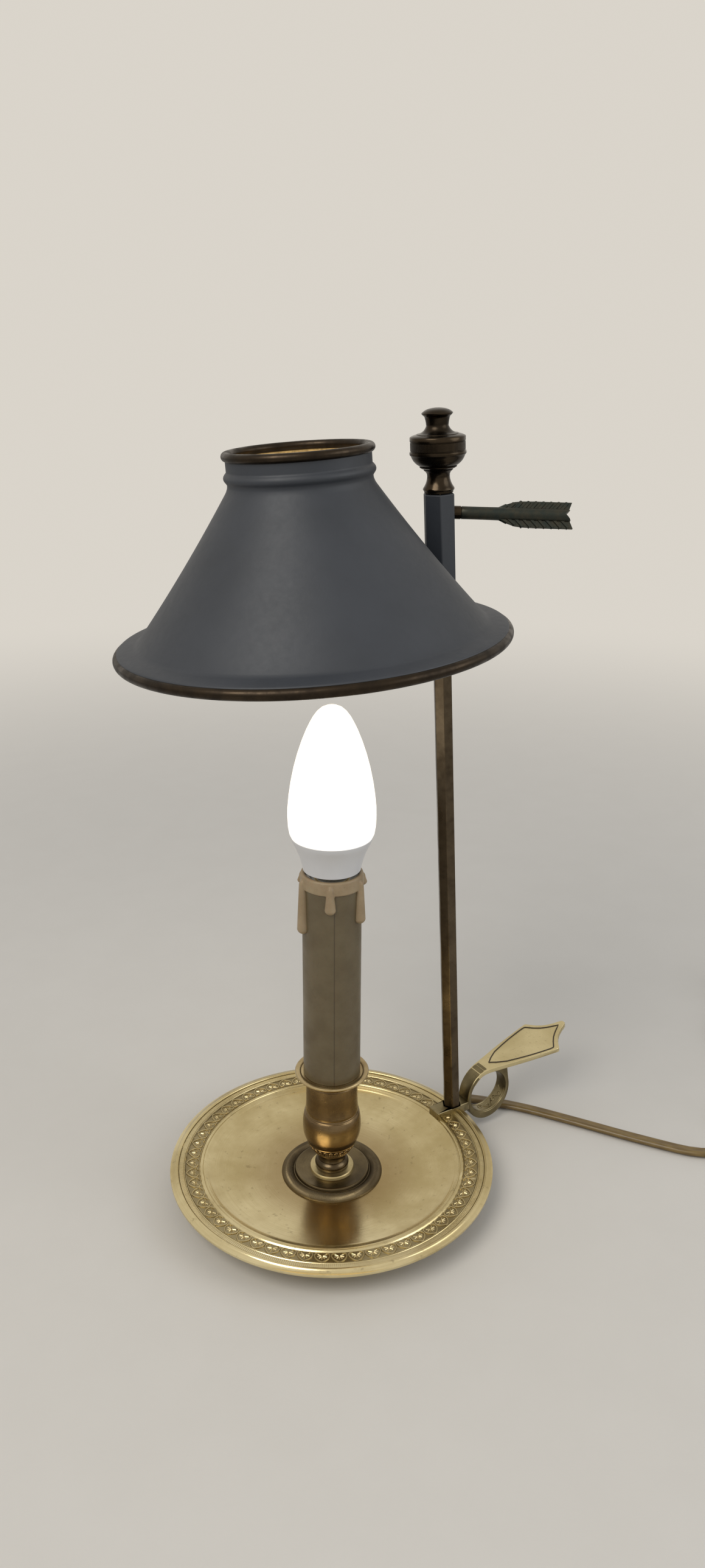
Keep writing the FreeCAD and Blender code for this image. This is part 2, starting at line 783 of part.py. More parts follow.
def make_stem():
    bore = dim.tube_radius + dim.tube_clearance
    low = dim.floor_top + dim.collar_height
    top = low + dim.stem_height
    keep("stem", turned("stem", [
        (bore, low),
        (dim.stem_foot_radius, low, dim.stem_ball_height / 2, LEFT),
        (dim.stem_ball_radius, low + dim.stem_ball_rise, dim.stem_ball_height, LEFT),
        (dim.stem_neck_radius, low + dim.stem_ball_height, dim.stem_height, RIGHT),
        (dim.stem_neck_radius, top - dim.border_depth * 3),
        (dim.stem_foot_radius, top - dim.border_depth),
        (dim.stem_foot_radius, top),
        (bore, top),
    ]))


def make_cup():
    bore = dim.tube_radius + dim.tube_clearance
    low = dim.cup_low
    flange_low = dim.flange_height - dim.flange_thickness
    seat = dim.flange_height - dim.flange_seat_depth
    floor_top = low + dim.cup_floor
    keep("candle_cup", turned("candle_cup", [
        (bore, low),
        (dim.cup_foot_radius - dim.border_depth * 2, low),
        (dim.cup_foot_radius, low + dim.border_depth * 2, dim.cup_belly_radius, LEFT),
        (dim.cup_belly_radius, dim.cup_belly_height, dim.cup_belly_radius * 4, LEFT),
        (dim.cup_neck_radius, dim.cup_neck_height),
        (dim.cup_neck_radius, flange_low - dim.flange_thickness, dim.cup_foot_radius, RIGHT),
        (dim.flange_groove_radius, flange_low),
        (dim.flange_radius, flange_low + dim.border_depth),
        (dim.flange_radius, dim.flange_height - dim.border_depth),
        (dim.flange_radius - dim.border_depth, dim.flange_height),
        (dim.flange_groove_radius, seat),
        (dim.cup_cavity_radius, seat),
        (dim.cup_cavity_radius, floor_top),
        (bore, floor_top),
    ]))


# Candle: plain tube, dripping collar and the lampholder inside

def make_candle():
    seat = dim.flange_height - dim.flange_seat_depth
    shoulder = dim.candle_top - dim.drip_lip
    inner = dim.candle_radius - dim.candle_wall
    keep("candle_tube", turned("candle_tube", ring_corners(inner, dim.candle_radius, seat, shoulder)))
    outer = dim.candle_radius + dim.drip_thickness
    skirt_low = dim.candle_top - dim.drip_skirt_height
    pieces = [turned("drip_ring", [
        (inner, shoulder),
        (dim.candle_radius, shoulder),
        (dim.candle_radius, skirt_low),
        (outer, skirt_low),
        (outer, dim.candle_top - dim.drip_thickness, dim.drip_thickness * 1.05, LEFT),
        (dim.candle_radius, dim.candle_top),
        (inner, dim.candle_top),
    ])]
    for index, (azimuth, reach) in enumerate(DRIPS):
        tip = dim.candle_top - dim.drip_radius * reach
        turn = FreeCAD.Rotation(FreeCAD.Vector(0, 0, 1), azimuth)
        centre = turn.multVec(FreeCAD.Vector(dim.candle_radius.number, 0, 0))
        length = skirt_low - tip + dim.drip_thickness
        pieces.append(cylinder("drip_run_%d" % index, dim.drip_radius, length, (centre.x, centre.y, tip)))
        bulb = doc.addObject("Part::Sphere", "drip_tip_%d" % index)
        bind(bulb, "Radius", dim.drip_radius * 1.2)
        pieces.append(place(bulb, (centre.x, centre.y, tip.number)))
    core = cylinder("drip_core", dim.candle_radius, dim.candle_top, (0, 0, shoulder - dim.candle_top))
    keep("drip_collar", cut("drip_collar", fuse("drip_collar", *pieces), core))


def make_lampholder():
    outer = dim.holder_radius
    inner = outer - dim.holder_wall
    bore = dim.tube_radius + dim.tube_clearance / 3
    shell_low = dim.holder_top - dim.drip_lip - dim.screw_shell_height
    shell_outer = dim.screw_shell_radius + dim.screw_shell_wall
    keep("holder_sleeve", turned("holder_sleeve", ring_corners(
        inner, outer, dim.holder_base, dim.holder_top)))
    keep("holder_body", turned("holder_body", [
        (bore, dim.holder_base),
        (inner, dim.holder_base),
        (inner, dim.holder_top - dim.drip_lip),
        (shell_outer, dim.holder_top - dim.drip_lip),
        (shell_outer, shell_low),
        (dim.screw_shell_radius, shell_low),
        (dim.screw_shell_radius, shell_low - dim.holder_recess),
        (dim.tube_bore_radius, shell_low - dim.holder_recess),
        (dim.tube_bore_radius, dim.holder_floor),
        (dim.nut_across / 2, dim.holder_floor),
        (dim.nut_across / 2, dim.tube_top),
        (bore, dim.tube_top),
    ]))
    keep("screw_shell", turned("screw_shell", ring_corners(
        dim.screw_shell_radius, shell_outer, shell_low, shell_low + dim.screw_shell_height)))
    make_contacts(shell_low - dim.holder_recess)


def wire_turn():
    """The two conductors stand side by side, square to the way the lead comes in."""
    return FreeCAD.Rotation(FreeCAD.Vector(0, 0, 1), dim.cord_exit_azimuth.number + 90)


def make_contacts(recess_floor):
    """The centre tongue and the strip to the screw shell, both rising from the wires' ends."""
    low = dim.tube_top + dim.floor_thickness
    thick = dim.wire_radius * 2
    plate = dim.screw_shell_wall * 1.2
    middle = dim.wire_spacing / 2 - dim.wire_radius
    post = box("contact_post", thick, thick, dim.contact_top - low, (-middle - thick, -dim.wire_radius, low))
    tongue = cylinder("contact_tongue", dim.tube_bore_radius, plate, (0, 0, dim.contact_top - plate))
    keep("centre_contact", fuse("centre_contact", post, tongue))
    edge = dim.screw_shell_radius - dim.cap_clearance * 2
    riser = box("shell_post", thick / 2, thick, recess_floor + plate - low, (middle + thick / 2,
                -dim.wire_radius, low))
    foot = box("shell_foot", thick, thick, plate, (middle, -dim.wire_radius, low))
    strip = box("shell_strip", edge - middle - thick / 2, thick, plate, (middle + thick / 2,
                -dim.wire_radius, recess_floor))
    end = box("shell_end", plate, thick, dim.screw_shell_radius / 2, (edge - plate, -dim.wire_radius,
              recess_floor))
    keep("shell_contact", fuse("shell_contact", riser, foot, strip, end))
    for name in ("centre_contact", "shell_contact"):
        nodes[name].Placement = FreeCAD.Placement(FreeCAD.Vector(), wire_turn())


# Candle bulb with its screw cap

def make_bulb():
    cap = dim.screw_shell_radius - dim.cap_clearance
    cap_inner = cap - dim.cap_wall
    neck = cap * 0.7
    tip = dim.contact_top + dim.contact_gap
    keep("bulb_cap", turned("bulb_cap", [
        (neck - dim.cap_wall, dim.cap_base - dim.floor_thickness),
        (neck, dim.cap_base - dim.floor_thickness),
        (cap, dim.cap_base),
        (cap, dim.cap_top),
        (cap_inner, dim.cap_top),
        (cap_inner, dim.cap_base),
    ]))
    keep("cap_insulator", turned("cap_insulator", [
        (0, tip),
        (neck * 0.5, tip),
        (neck * 0.6, tip + dim.floor_thickness),
        (neck - dim.cap_wall, dim.cap_base - dim.floor_thickness),
        (cap_inner, dim.cap_base),
        (0, dim.cap_base),
    ]))
    wall = dim.bulb_wall
    board = dim.bulb_joint_height - wall
    keep("bulb_base", turned("bulb_base", [
        (cap_inner, dim.cap_base + wall),
        (cap_inner, dim.cap_top),
        (dim.bulb_foot_radius - wall, dim.cap_top, dim.bulb_foot_height - dim.cap_top, LEFT),
        (dim.bulb_foot_radius, dim.bulb_foot_height),
        (dim.bulb_joint_radius, dim.bulb_joint_height),
        (dim.bulb_joint_radius - wall, dim.bulb_joint_height),
        (dim.bulb_joint_radius - wall, board - wall),
        (dim.bulb_foot_radius - wall, dim.bulb_foot_height + wall),
        (cap_inner - wall, dim.bulb_foot_height + wall),
        (cap_inner - wall, dim.cap_base + wall),
    ]))
    keep("led_board", cylinder("led_board", dim.bulb_joint_radius - wall - dim.cap_clearance, wall,
                               (0, 0, board)))
    side = dim.bulb_radius * 4.4
    lift = dim.bulb_tip_height - dim.bulb_shoulder_height
    shoulder = dim.bulb_shoulder_radius
    point = bend_over(shoulder, lift)
    keep("bulb_dome", turned("bulb_dome", [
        (dim.bulb_joint_radius, dim.bulb_joint_height, dim.bulb_radius * 2, LEFT),
        (dim.bulb_radius, dim.bulb_widest_height, side, LEFT),
        (shoulder, dim.bulb_shoulder_height, point, LEFT),
        (dim.bulb_tip_flat, dim.bulb_tip_height),
        (0, dim.bulb_tip_height),
        (0, dim.bulb_tip_height - wall),
        (dim.bulb_tip_flat, dim.bulb_tip_height - wall, point - wall, RIGHT),
        (shoulder - wall * 0.6, dim.bulb_shoulder_height - wall * 0.6, side, RIGHT),
        (dim.bulb_radius - wall, dim.bulb_widest_height, dim.bulb_radius * 2, RIGHT),
        (dim.bulb_joint_radius - wall, dim.bulb_joint_height),
    ]))


# Handle: bar, finger ring and leaf-shaped thumb rest in one casting

def make_handle():
    body = new_body("handle_casting")
    side = new_sketch(body, "XZ_Plane")
    thickness = dim.leaf_thickness
    draw_outline(side, [
        (dim.leaf_start, dim.leaf_start_height - thickness),
        (dim.leaf_shoulder, dim.leaf_shoulder_height - thickness),
        (dim.leaf_tip, dim.leaf_tip_height - thickness / 2),
        (dim.leaf_tip, dim.leaf_tip_height),
        (dim.leaf_shoulder, dim.leaf_shoulder_height),
        (dim.leaf_start, dim.leaf_start_height),
    ])
    pad(body, side, dim.leaf_half_width * 2, both_ways=True)
    half = dim.bar_width / 2
    wide = dim.leaf_half_width
    far = dim.leaf_tip + dim.bar_width
    for sign in (1, -1):
        trim = new_sketch(body, "XY_Plane")
        flank = LEFT if sign > 0 else RIGHT
        draw_outline(trim, [
            (dim.leaf_start - half, half * sign),
            (dim.leaf_start + half, half * sign),
            (dim.leaf_shoulder, wide * sign, wide * 1.6, flank),
            (dim.leaf_tip, 0),
            (far, 0),
            (far, wide * 2 * sign),
            (dim.leaf_start - half, wide * 2 * sign),
        ])
        pocket_through(body, trim)
    ring = new_sketch(body, "XZ_Plane")
    draw_ellipse(ring, dim.ring_centre, dim.ring_height, dim.ring_half_width, dim.ring_half_height)
    draw_circle(ring, dim.ring_centre, dim.finger_hole_height, dim.finger_hole_radius)
    pad(body, ring, dim.bar_width, both_ways=True)
    bar = new_sketch(body, "XZ_Plane")
    wall_middle = dim.ring_centre - (dim.ring_half_width + dim.finger_hole_radius) / 2
    draw_box(bar, dim.bar_inner_end, dim.bar_bottom, wall_middle, dim.bar_top)
    pad(body, bar, dim.bar_width, both_ways=True)
    socket = hex_prism("rod_socket", dim.rod_across + dim.rod_socket_clearance * 2, dim.rod_socket_depth * 4)
    socket.Placement = rod_frame(-dim.rod_socket_depth)
    keep("handle", cut("handle", body, socket, rod_screw_hole("bar_screw_hole"), pin_socket()))


def draw_ellipse(sketch, x, y, half_width, half_height):
    """An upright ellipse from four arcs would show its joints, so it is one true ellipse."""
    centre = FreeCAD.Vector(x.number, y.number, 0)
    top = centre + FreeCAD.Vector(0, half_height.number, 0)
    side = centre + FreeCAD.Vector(-half_width.number, 0, 0)
    edge = sketch.addGeometry(Part.Ellipse(top, side, centre), False)
    sketch.exposeInternalGeometry(edge)
    major, minor = edge + 1, edge + 2
    hold(sketch, "DistanceX", edge, 3, x)
    hold(sketch, "DistanceY", edge, 3, y)
    sketch.addConstraint(Sketcher.Constraint("Vertical", major))
    hold(sketch, "Distance", major, half_height * 2)
    hold(sketch, "Distance", minor, half_width * 2)


def pin_socket():
    height = (dim.bar_top - dim.bar_bottom) / 2
    return cylinder("bar_pin_hole", dim.pin_radius, height, (dim.pin_place, 0, dim.bar_bottom))


def make_handle_fixings():
    height = dim.bar_bottom - dim.rim_under_height + (dim.bar_top - dim.bar_bottom) / 2
    keep("locating_pin", cylinder("locating_pin", dim.pin_radius, height,
                                  (dim.pin_place, 0, dim.rim_under_height)))
    head_top = dim.rim_under_height - dim.bar_top - dim.border_depth / 2
    head_low = head_top - dim.rod_screw_head_height
    screw = turned("rod_screw", [
        (0, head_low),
        (dim.rod_screw_head_radius - dim.border_depth, head_low),
        (dim.rod_screw_head_radius, head_low + dim.border_depth),
        (dim.rod_screw_head_radius, head_top),
        (dim.rod_screw_radius, head_top),
        (dim.rod_screw_radius, dim.rod_screw_grip),
        (0, dim.rod_screw_grip),
    ])
    screw.Placement = rod_frame()
    keep("rod_screw", screw)


# Rod, sliding sleeve, clamping key and finial, all on the leaning axis

def make_rod():
    length = dim.rod_shoulder + dim.rod_socket_depth
    rod = hex_prism("rod_hexagon", dim.rod_across, length)
    rod.Placement = rod_frame(-dim.rod_socket_depth)
    stud = cylinder("rod_stud", dim.stud_radius, dim.stud_length + dim.rod_socket_depth)
    stud.Placement = rod_frame(dim.rod_shoulder - dim.rod_socket_depth)
    hole = cylinder("rod_screw_socket", dim.rod_screw_radius, dim.rod_screw_grip + dim.rod_socket_depth)
    hole.Placement = rod_frame(-dim.rod_socket_depth)
    keep("rod", cut("rod", fuse("rod", rod, stud), hole))


def sleeve_outside(name, clearance, low, high):
    prism = hex_prism(name, dim.sleeve_across + clearance * 2, high - low)
    prism.Placement = rod_frame(low)
    return prism


def make_sleeve():
    outside = sleeve_outside("sleeve_outside", as_size(0), dim.sleeve_bottom, dim.sleeve_top)
    inside = hex_prism("sleeve_inside", dim.rod_across + dim.slide_clearance * 2, dim.sleeve_top)
    inside.Placement = rod_frame(dim.sleeve_bottom - dim.sleeve_across)
    bore = dim.key_thread_radius + dim.key_clearance
    hole = along_key(cylinder("sleeve_key_hole", bore, dim.sleeve_across))
    keep("rod_sleeve", cut("rod_sleeve", outside, inside, hole))


def along_key(thing, start=0.0):
    """Turn a piece that stands along its Z so that it lies along the key, from the given reach."""
    frame = key_frame()
    along = FreeCAD.Rotation(FreeCAD.Vector(0, 1, 0), 90)
    offset = FreeCAD.Vector(as_size(start).number, 0, 0)
    thing.Placement = frame.multiply(FreeCAD.Placement(offset, along))
    return thing


def make_key_boss():
    bore = dim.key_thread_radius + dim.key_clearance
    start = dim.sleeve_across / 2 - dim.border_depth
    ring = turned("key_boss_ring", ring_corners(
        bore, dim.key_boss_radius, as_size(0), dim.key_boss_length + dim.border_depth))
    outside = sleeve_outside("key_boss_seat", as_size(0), dim.sleeve_bottom, dim.sleeve_top)
    keep("key_boss", cut("key_boss", along_key(ring, start), outside))


def make_key():
    lift = dim.key_thread_radius * math.sin(math.radians(dim.key_droop.number))
    tip = dim.rod_across / 2 + lift + dim.stud_clearance
    shoulder = dim.sleeve_across / 2 + dim.key_boss_length + dim.border_depth * 0.5
    body = turned("arrow_key", [
        (tip, 0),
        (dim.key_length, 0),
        (dim.key_length, dim.key_shaft_radius),
        (shoulder, dim.key_shaft_radius),
        (shoulder, dim.key_thread_radius),
        (tip, dim.key_thread_radius),
    ], axis="H_Axis")
    vanes = new_sketch(body, "XY_Plane")
    wide = dim.vane_half_width
    inner = dim.key_shaft_radius - dim.border_depth
    draw_outline(vanes, [
        (dim.vane_start, -inner),
        (dim.vane_start + dim.vane_swell, -wide),
        (dim.key_length, -wide),
        (dim.key_length - dim.nock_depth, 0),
        (dim.key_length, wide),
        (dim.vane_start + dim.vane_swell, wide),
        (dim.vane_start, inner),
    ])
    pad(body, vanes, dim.vane_thickness, both_ways=True)
    nock = new_sketch(body, "XY_Plane", -dim.vane_half_width)
    draw_outline(nock, [
        (dim.key_length - dim.nock_depth, 0),
        (dim.key_length + dim.nock_depth, -wide * 2),
        (dim.key_length + dim.nock_depth, wide * 2),
    ])
    pocket_through(body, nock)
    tilt = FreeCAD.Rotation(FreeCAD.Vector(1, 0, 0), dim.vane_tilt.number)
    body.Placement = key_frame().multiply(FreeCAD.Placement(FreeCAD.Vector(), tilt))
    keep("arrow_key", body)


def make_finial():
    foot = dim.finial_foot
    top = dim.finial_top
    step = dim.border_depth
    bore = dim.stud_radius + dim.stud_clearance
    seat_radius = dim.rod_across / math.sqrt(3) + dim.stud_clearance * 2
    seat_top = dim.rod_shoulder + dim.stud_clearance * 2
    bore_top = dim.rod_shoulder + dim.stud_length + step
    finial = turned("finial", [
        (seat_radius, foot),
        (dim.finial_foot_radius - step, foot),
        (dim.finial_foot_radius, dim.finial_foot_rise),
        (dim.finial_neck_radius, dim.finial_neck_rise, dim.finial_neck_radius * 2, RIGHT),
        (dim.finial_foot_radius - step * 2, dim.finial_bowl_low, dim.finial_bowl_radius * 1.4, LEFT),
        (dim.finial_bowl_radius, dim.finial_bowl_high),
        (dim.finial_bead_radius, dim.finial_bead_low),
        (dim.finial_bead_radius, dim.finial_bead_high),
        (dim.finial_knurl_radius, dim.finial_knurl_low),
        (dim.finial_knurl_radius, dim.finial_knurl_high),
        (dim.finial_bead_radius - step / 2, dim.finial_upper_bead_low),
        (dim.finial_bead_radius - step / 2, dim.finial_upper_bead_high),
        (dim.finial_shoulder_radius, dim.finial_shoulder_rise, dim.finial_bead_radius, LEFT),
        (dim.finial_waist_radius + step, dim.finial_waist_low),
        (dim.finial_waist_radius, dim.finial_waist_high, dim.finial_waist_radius * 1.2, RIGHT),
        (dim.finial_cap_radius - step * 2.5, dim.finial_cap_low),
        (dim.finial_cap_radius, dim.finial_cap_rise),
        (dim.finial_cap_radius - step, top - step * 2.5, dim.finial_cap_radius * 2.2, LEFT),
        (dim.finial_tip_flat, top),
        (0, top),
        (0, bore_top),
        (bore, bore_top),
        (bore, seat_top),
        (seat_radius, seat_top),
    ])
    finial.Placement = rod_frame()
    keep("finial", finial)


# Shade: spun cone flaring out at its foot, a collar with a pressed bead, and two rolled edges

def make_shade():
    wall = dim.shade_wall
    run = wall * 1.3
    low = dim.low_roll_radius
    neck = dim.shade_neck_radius
    bead_top = dim.shade_neck_height + dim.shade_bead_height
    half_bead = dim.shade_bead_height / 2
    bead_bend = bend_over(half_bead, dim.shade_bead_rise)
    cone = turned("shade_spinning", [
        (dim.shade_low_radius, low),
        (dim.shade_low_radius, dim.shade_band_height),
        (dim.shade_brim_radius, dim.shade_brim_height),
        (dim.shade_flare_radius, dim.shade_flare_height),
        (dim.shade_waist_radius, dim.shade_waist_height),
        (neck, dim.shade_neck_height),
        (neck - wall, dim.shade_neck_height),
        (dim.shade_waist_radius - run, dim.shade_waist_height),
        (dim.shade_flare_radius - wall * 0.8, dim.shade_flare_height - wall * 0.7),
        (dim.shade_brim_radius - wall * 0.4, dim.shade_brim_height - wall * 0.9),
        (dim.shade_low_radius - run, dim.shade_band_height - wall / 2),
        (dim.shade_low_radius - run, low),
    ])
    cone.Placement = shade_frame()
    hole = sleeve_outside("shade_sleeve_hole", dim.shade_hole_clearance,
                          dim.sleeve_bottom - dim.sleeve_across, dim.sleeve_top)
    keep("shade_cone", cut("shade_cone", cone, hole))
    collar = turned("shade_collar", [
        (neck, dim.shade_neck_height, bead_bend, RIGHT),
        (neck, bead_top),
        (neck, dim.shade_top_height),
        (neck - wall, dim.shade_top_height),
        (neck - wall, bead_top, bead_bend, LEFT),
        (neck - wall, dim.shade_neck_height),
    ])
    collar.Placement = shade_frame()
    keep("shade_collar", collar)
    rolled_edge("shade_low_edge", dim.shade_low_radius - run / 2, dim.low_roll_radius,
                dim.low_roll_radius, run, dim.low_roll_radius, dim.low_roll_radius * 2)
    rolled_edge("shade_top_edge", neck - wall / 2, dim.top_roll_radius, dim.shade_top_height,
                wall, dim.shade_top_height - dim.top_roll_radius * 2, dim.shade_top_height)


def rolled_edge(name, radius, roll, height, wall, slot_low, slot_high):
    """A ring of round section, slotted to take the sheet's edge."""
    body = new_body(name)
    sketch = new_sketch(body, "XZ_Plane")
    draw_circle(sketch, radius, height, roll)
    turn(body, sketch)
    before = body.Shape.Volume
    slot = new_sketch(body, "XZ_Plane")
    half = wall / 2 + dim.roll_clearance
    low, high = slot_low - dim.roll_clearance, slot_high + dim.roll_clearance
    draw_box(slot, radius - half, low, radius + half, high)
    turn(body, slot, kind="PartDesign::Groove")
    if body.Shape.Volume >= before:
        raise ValueError("the slot of %s cuts nothing" % name)
    body.Placement = shade_frame()
    keep(name, body)


# Paths and sections for the cord

def arc_through_tangents(start, corner, end):
    """The arc that touches start-corner at start and corner-end at end, both equally long."""
    chord_middle = (start + end) * 0.5
    towards_corner = corner - chord_middle
    half_chord = (end - start).Length / 2
    tangent = (corner - start).Length
    radius = half_chord * tangent / towards_corner.Length
    sagitta = radius - math.sqrt(max(radius * radius - half_chord * half_chord, 0))
    top = chord_middle + towards_corner.normalize() * sagitta
    return Part.Arc(start, top, end), radius


def rounded_path(points):
    """Straight runs joined by tangent arcs, each as large as its two runs allow."""
    edges = []
    here = points[0]
    for before, corner, after in zip(points, points[1:], points[2:]):
        incoming, outgoing = corner - before, after - corner
        reach = 0.45 * min(incoming.Length, outgoing.Length)
        start = corner - incoming.normalize() * reach
        end = corner + outgoing.normalize() * reach
        arc, radius = arc_through_tangents(start, corner, end)
        print("cord bend radius %.1f mm" % radius)
        edges += [Part.LineSegment(here, start).toShape(), arc.toShape()]
        here = end
    edges.append(Part.LineSegment(here, points[-1]).toShape())
    return Part.Wire(edges)


def biarc(start, start_way, end, end_way):
    """Two arcs that leave start and reach end along the given unit ways."""
    span = end - start
    ways = start_way + end_way
    spread = 2 * (1 - start_way.dot(end_way))
    along = span.dot(ways)
    reach = (math.sqrt(along * along + spread * span.dot(span)) - along) / spread
    first, second = start + start_way * reach, end - end_way * reach
    middle = (first + second) * 0.5
    return [arc_through_tangents(start, first, middle)[0].toShape(),
            arc_through_tangents(middle, second, end)[0].toShape()]


def cord_section(start, way):
    """The flat cord's outline, rounded at both edges, square to its way and level across."""
    half_width, half_height = dim.cord_width.number / 2, dim.cord_thickness.number / 2
    across = FreeCAD.Vector(0, 0, 1).cross(way).normalize()
    up = way.cross(across).normalize()
    straight = half_width - half_height
    corners = [start + across * straight * side_x + up * half_height * side_y
               for side_x, side_y in ((1, -1), (1, 1), (-1, 1), (-1, -1))]
    right = Part.Arc(corners[0], start + across * half_width, corners[1])
    left = Part.Arc(corners[2], start - across * half_width, corners[3])
    return Part.Wire([
        right.toShape(), Part.LineSegment(corners[1], corners[2]).toShape(),
        left.toShape(), Part.LineSegment(corners[3], corners[0]).toShape()])


def cord_area():
    width, height = dim.cord_width.number, dim.cord_thickness.number
    return (width - height) * height + math.pi * height * height / 4


def swept_cord(name, path):
    first = path.OrderedEdges[0]
    start = first.valueAt(first.FirstParameter)
    way = first.tangentAt(first.FirstParameter)
    solid = path.makePipeShell([cord_section(start, way)], True, False)
    share = solid.Volume / (cord_area() * path.Length)
    print("%s: %.0f mm long, volume %.3f of section times length" % (name, path.Length, share))
    return keep(name, shaped(name, solid))


# Cord: exit bush, lead, wires inside, link and coil

def relief_opening():
    width = dim.cord_width + (dim.relief_wall + dim.relief_clearance) * 2
    height = dim.cord_thickness + dim.relief_wall + dim.relief_clearance
    opening = box("foot_opening", dim.foot_wall * 3, width, height, (0, 0, 0))
    corner = exit_place(dim.foot_radius - dim.foot_wall * 2, dim.cord_exit_height - height / 2)
    offset = exit_turn().multVec(FreeCAD.Vector(0, -width.number / 2, 0))
    opening.Placement = FreeCAD.Placement(corner + offset, exit_turn())
    return opening


def oblong(reach, half_width, half_height):
    """An oblong across the exit line, as a wire for a loft."""
    corners = [FreeCAD.Vector(reach, y, z) for y, z in (
        (-half_width, -half_height), (half_width, -half_height), (half_width, half_height),
        (-half_width, half_height))]
    return Part.makePolygon(corners + corners[:1])


def make_cord_exit():
    """A bush in the foot's wall, with a flange inside and a long taper outside."""
    cord_half, cord_rise = dim.cord_width.number / 2, dim.cord_thickness.number / 2
    wall, clear = dim.relief_wall.number, dim.relief_clearance.number
    inner = dim.foot_radius.number - dim.foot_wall.number
    outer = inner + dim.relief_length.number
    flange_width = dim.relief_flange_width.number
    flange_start = inner - dim.relief_flange.number - dim.relief_flange_setback.number
    flange = Part.makeBox(
        dim.relief_flange.number, flange_width, dim.relief_flange_height.number,
        FreeCAD.Vector(flange_start, -flange_width / 2, -cord_rise - wall / 2))
    taper = Part.makeLoft([
        oblong(inner - dim.relief_flange.number, cord_half + wall, cord_rise + wall / 2),
        oblong(outer, cord_half + wall * 0.45, cord_rise + wall * 0.35)], True, True)
    bore = Part.makeLoft([
        oblong(inner - dim.relief_flange.number * 3, cord_half + clear, cord_rise + clear),
        oblong(outer + wall, cord_half + clear, cord_rise + clear)], True, True)
    bush = taper.fuse(flange).cut(bore)
    base = exit_place(0, dim.cord_exit_height)
    keep("cord_exit_bush", shaped("cord_exit_bush", bush, FreeCAD.Placement(base, exit_turn())))


def make_lead():
    start = exit_place(dim.cord_end_radius, dim.cord_exit_height)
    switch = FreeCAD.Vector(dim.switch_start.number + dim.switch_wall.number * 2, dim.switch_row.number,
                            dim.switch_port_height.number)
    points = [start] + [FreeCAD.Vector(*point) for point in LEAD_ROUTE] + [switch]
    swept_cord("cord_lead", rounded_path(points))


def make_wires():
    """Two insulated conductors, from the lead's end through the foot and up the threaded tube."""
    bend = dim.wire_bend_radius.number
    low = dim.cord_exit_height.number - dim.wire_radius.number / 2
    top = dim.tube_top.number + dim.floor_thickness.number
    up = FreeCAD.Vector(0, 0, 1)
    way = exit_turn().multVec(FreeCAD.Vector(1, 0, 0))
    for name, side in (("live_wire", -1), ("neutral_wire", 1)):
        foot = wire_turn().multVec(FreeCAD.Vector(side * dim.wire_spacing.number / 2, 0, 0))
        far = foot + way * (dim.cord_end_radius.number - dim.relief_clearance.number)
        level = foot + way * bend + up * low
        raised = foot + up * (low + bend)
        middle = foot + way * bend + up * (low + bend) + (way * -1 + up * -1) * (bend / math.sqrt(2))
        path = Part.Wire([
            Part.LineSegment(far + up * low, level).toShape(),
            Part.Arc(level, middle, raised).toShape(),
            Part.LineSegment(raised, foot + up * top).toShape()])
        section = Part.Wire(Part.Circle(far + up * low, way, dim.wire_radius.number).toShape())
        keep(name, shaped(name, path.makePipeShell([section], True, False)))


def coil_centre():
    link_end = dim.switch_start.number + dim.switch_length.number + dim.link_length.number
    return FreeCAD.Vector(link_end + dim.coil_lead_in.number,
                          dim.switch_row.number + dim.coil_outer_radius.number, 0)


def coil_knots():
    """Points of the winding with their ways, a quarter turn apart: in, up a layer, and out again."""
    pitch, rise = dim.coil_pitch.number, dim.coil_layer_rise.number
    low, outer = dim.coil_height.number, dim.coil_outer_radius.number
    quarter = math.pi / 2
    rate = pitch / (2 * math.pi)
    port = dim.plug_bottom.number + dim.plug_thickness.number / 2
    inner = outer - pitch * COIL_LOWER_TURNS
    states = []
    for step in range(int(COIL_LOWER_TURNS * 4) + 1):
        states.append((outer - pitch * step / 4, low, -rate, 0.0))
    states.append((inner - dim.coil_inner_dip.number, low + rise / 2, 0.0, rise / math.pi * 1.4))
    for step in range(int(COIL_UPPER_TURNS * 4) + 1):
        states.append((inner + pitch * step / 4, low + rise, rate, 0.0))
    climb = (port - low - rise) / 2
    states.append((states[-1][0] + pitch / 4, low + rise + climb, rate, climb / quarter))
    knots = []
    for index, (radius, height, radial, upward) in enumerate(states):
        angle = -quarter + index * quarter
        out = FreeCAD.Vector(math.cos(angle), math.sin(angle), 0)
        ahead = FreeCAD.Vector(-math.sin(angle), math.cos(angle), 0)
        way = (out * radial + ahead * radius + FreeCAD.Vector(0, 0, upward)).normalize()
        knots.append((coil_centre() + out * radius + FreeCAD.Vector(0, 0, height), way))
    knots[0] = (knots[0][0], FreeCAD.Vector(1, 0, 0))
    last, way = knots[-1]
    flat_way = FreeCAD.Vector(way.x, way.y, 0).normalize()
    inward = FreeCAD.Vector(-flat_way.y, flat_way.x, 0)
    turn_in = dim.coil_turn_in_radius.number
    landing = FreeCAD.Vector(last.x, last.y, port) + flat_way * turn_in + inward * turn_in
    knots.append((landing, inward))
    return knots


def least_gap(points, skip):
    """The least gap between stretches of the flat cord that lie beside or above each other."""
    width, height = dim.cord_width.number, dim.cord_thickness.number
    best = math.inf
    for index, here in enumerate(points):
        for there in points[index + skip:]:
            aside = max(math.hypot(there.x - here.x, there.y - here.y) - width, 0)
            above = max(abs(there.z - here.z) - height, 0)
            best = min(best, math.hypot(aside, above))
    return best


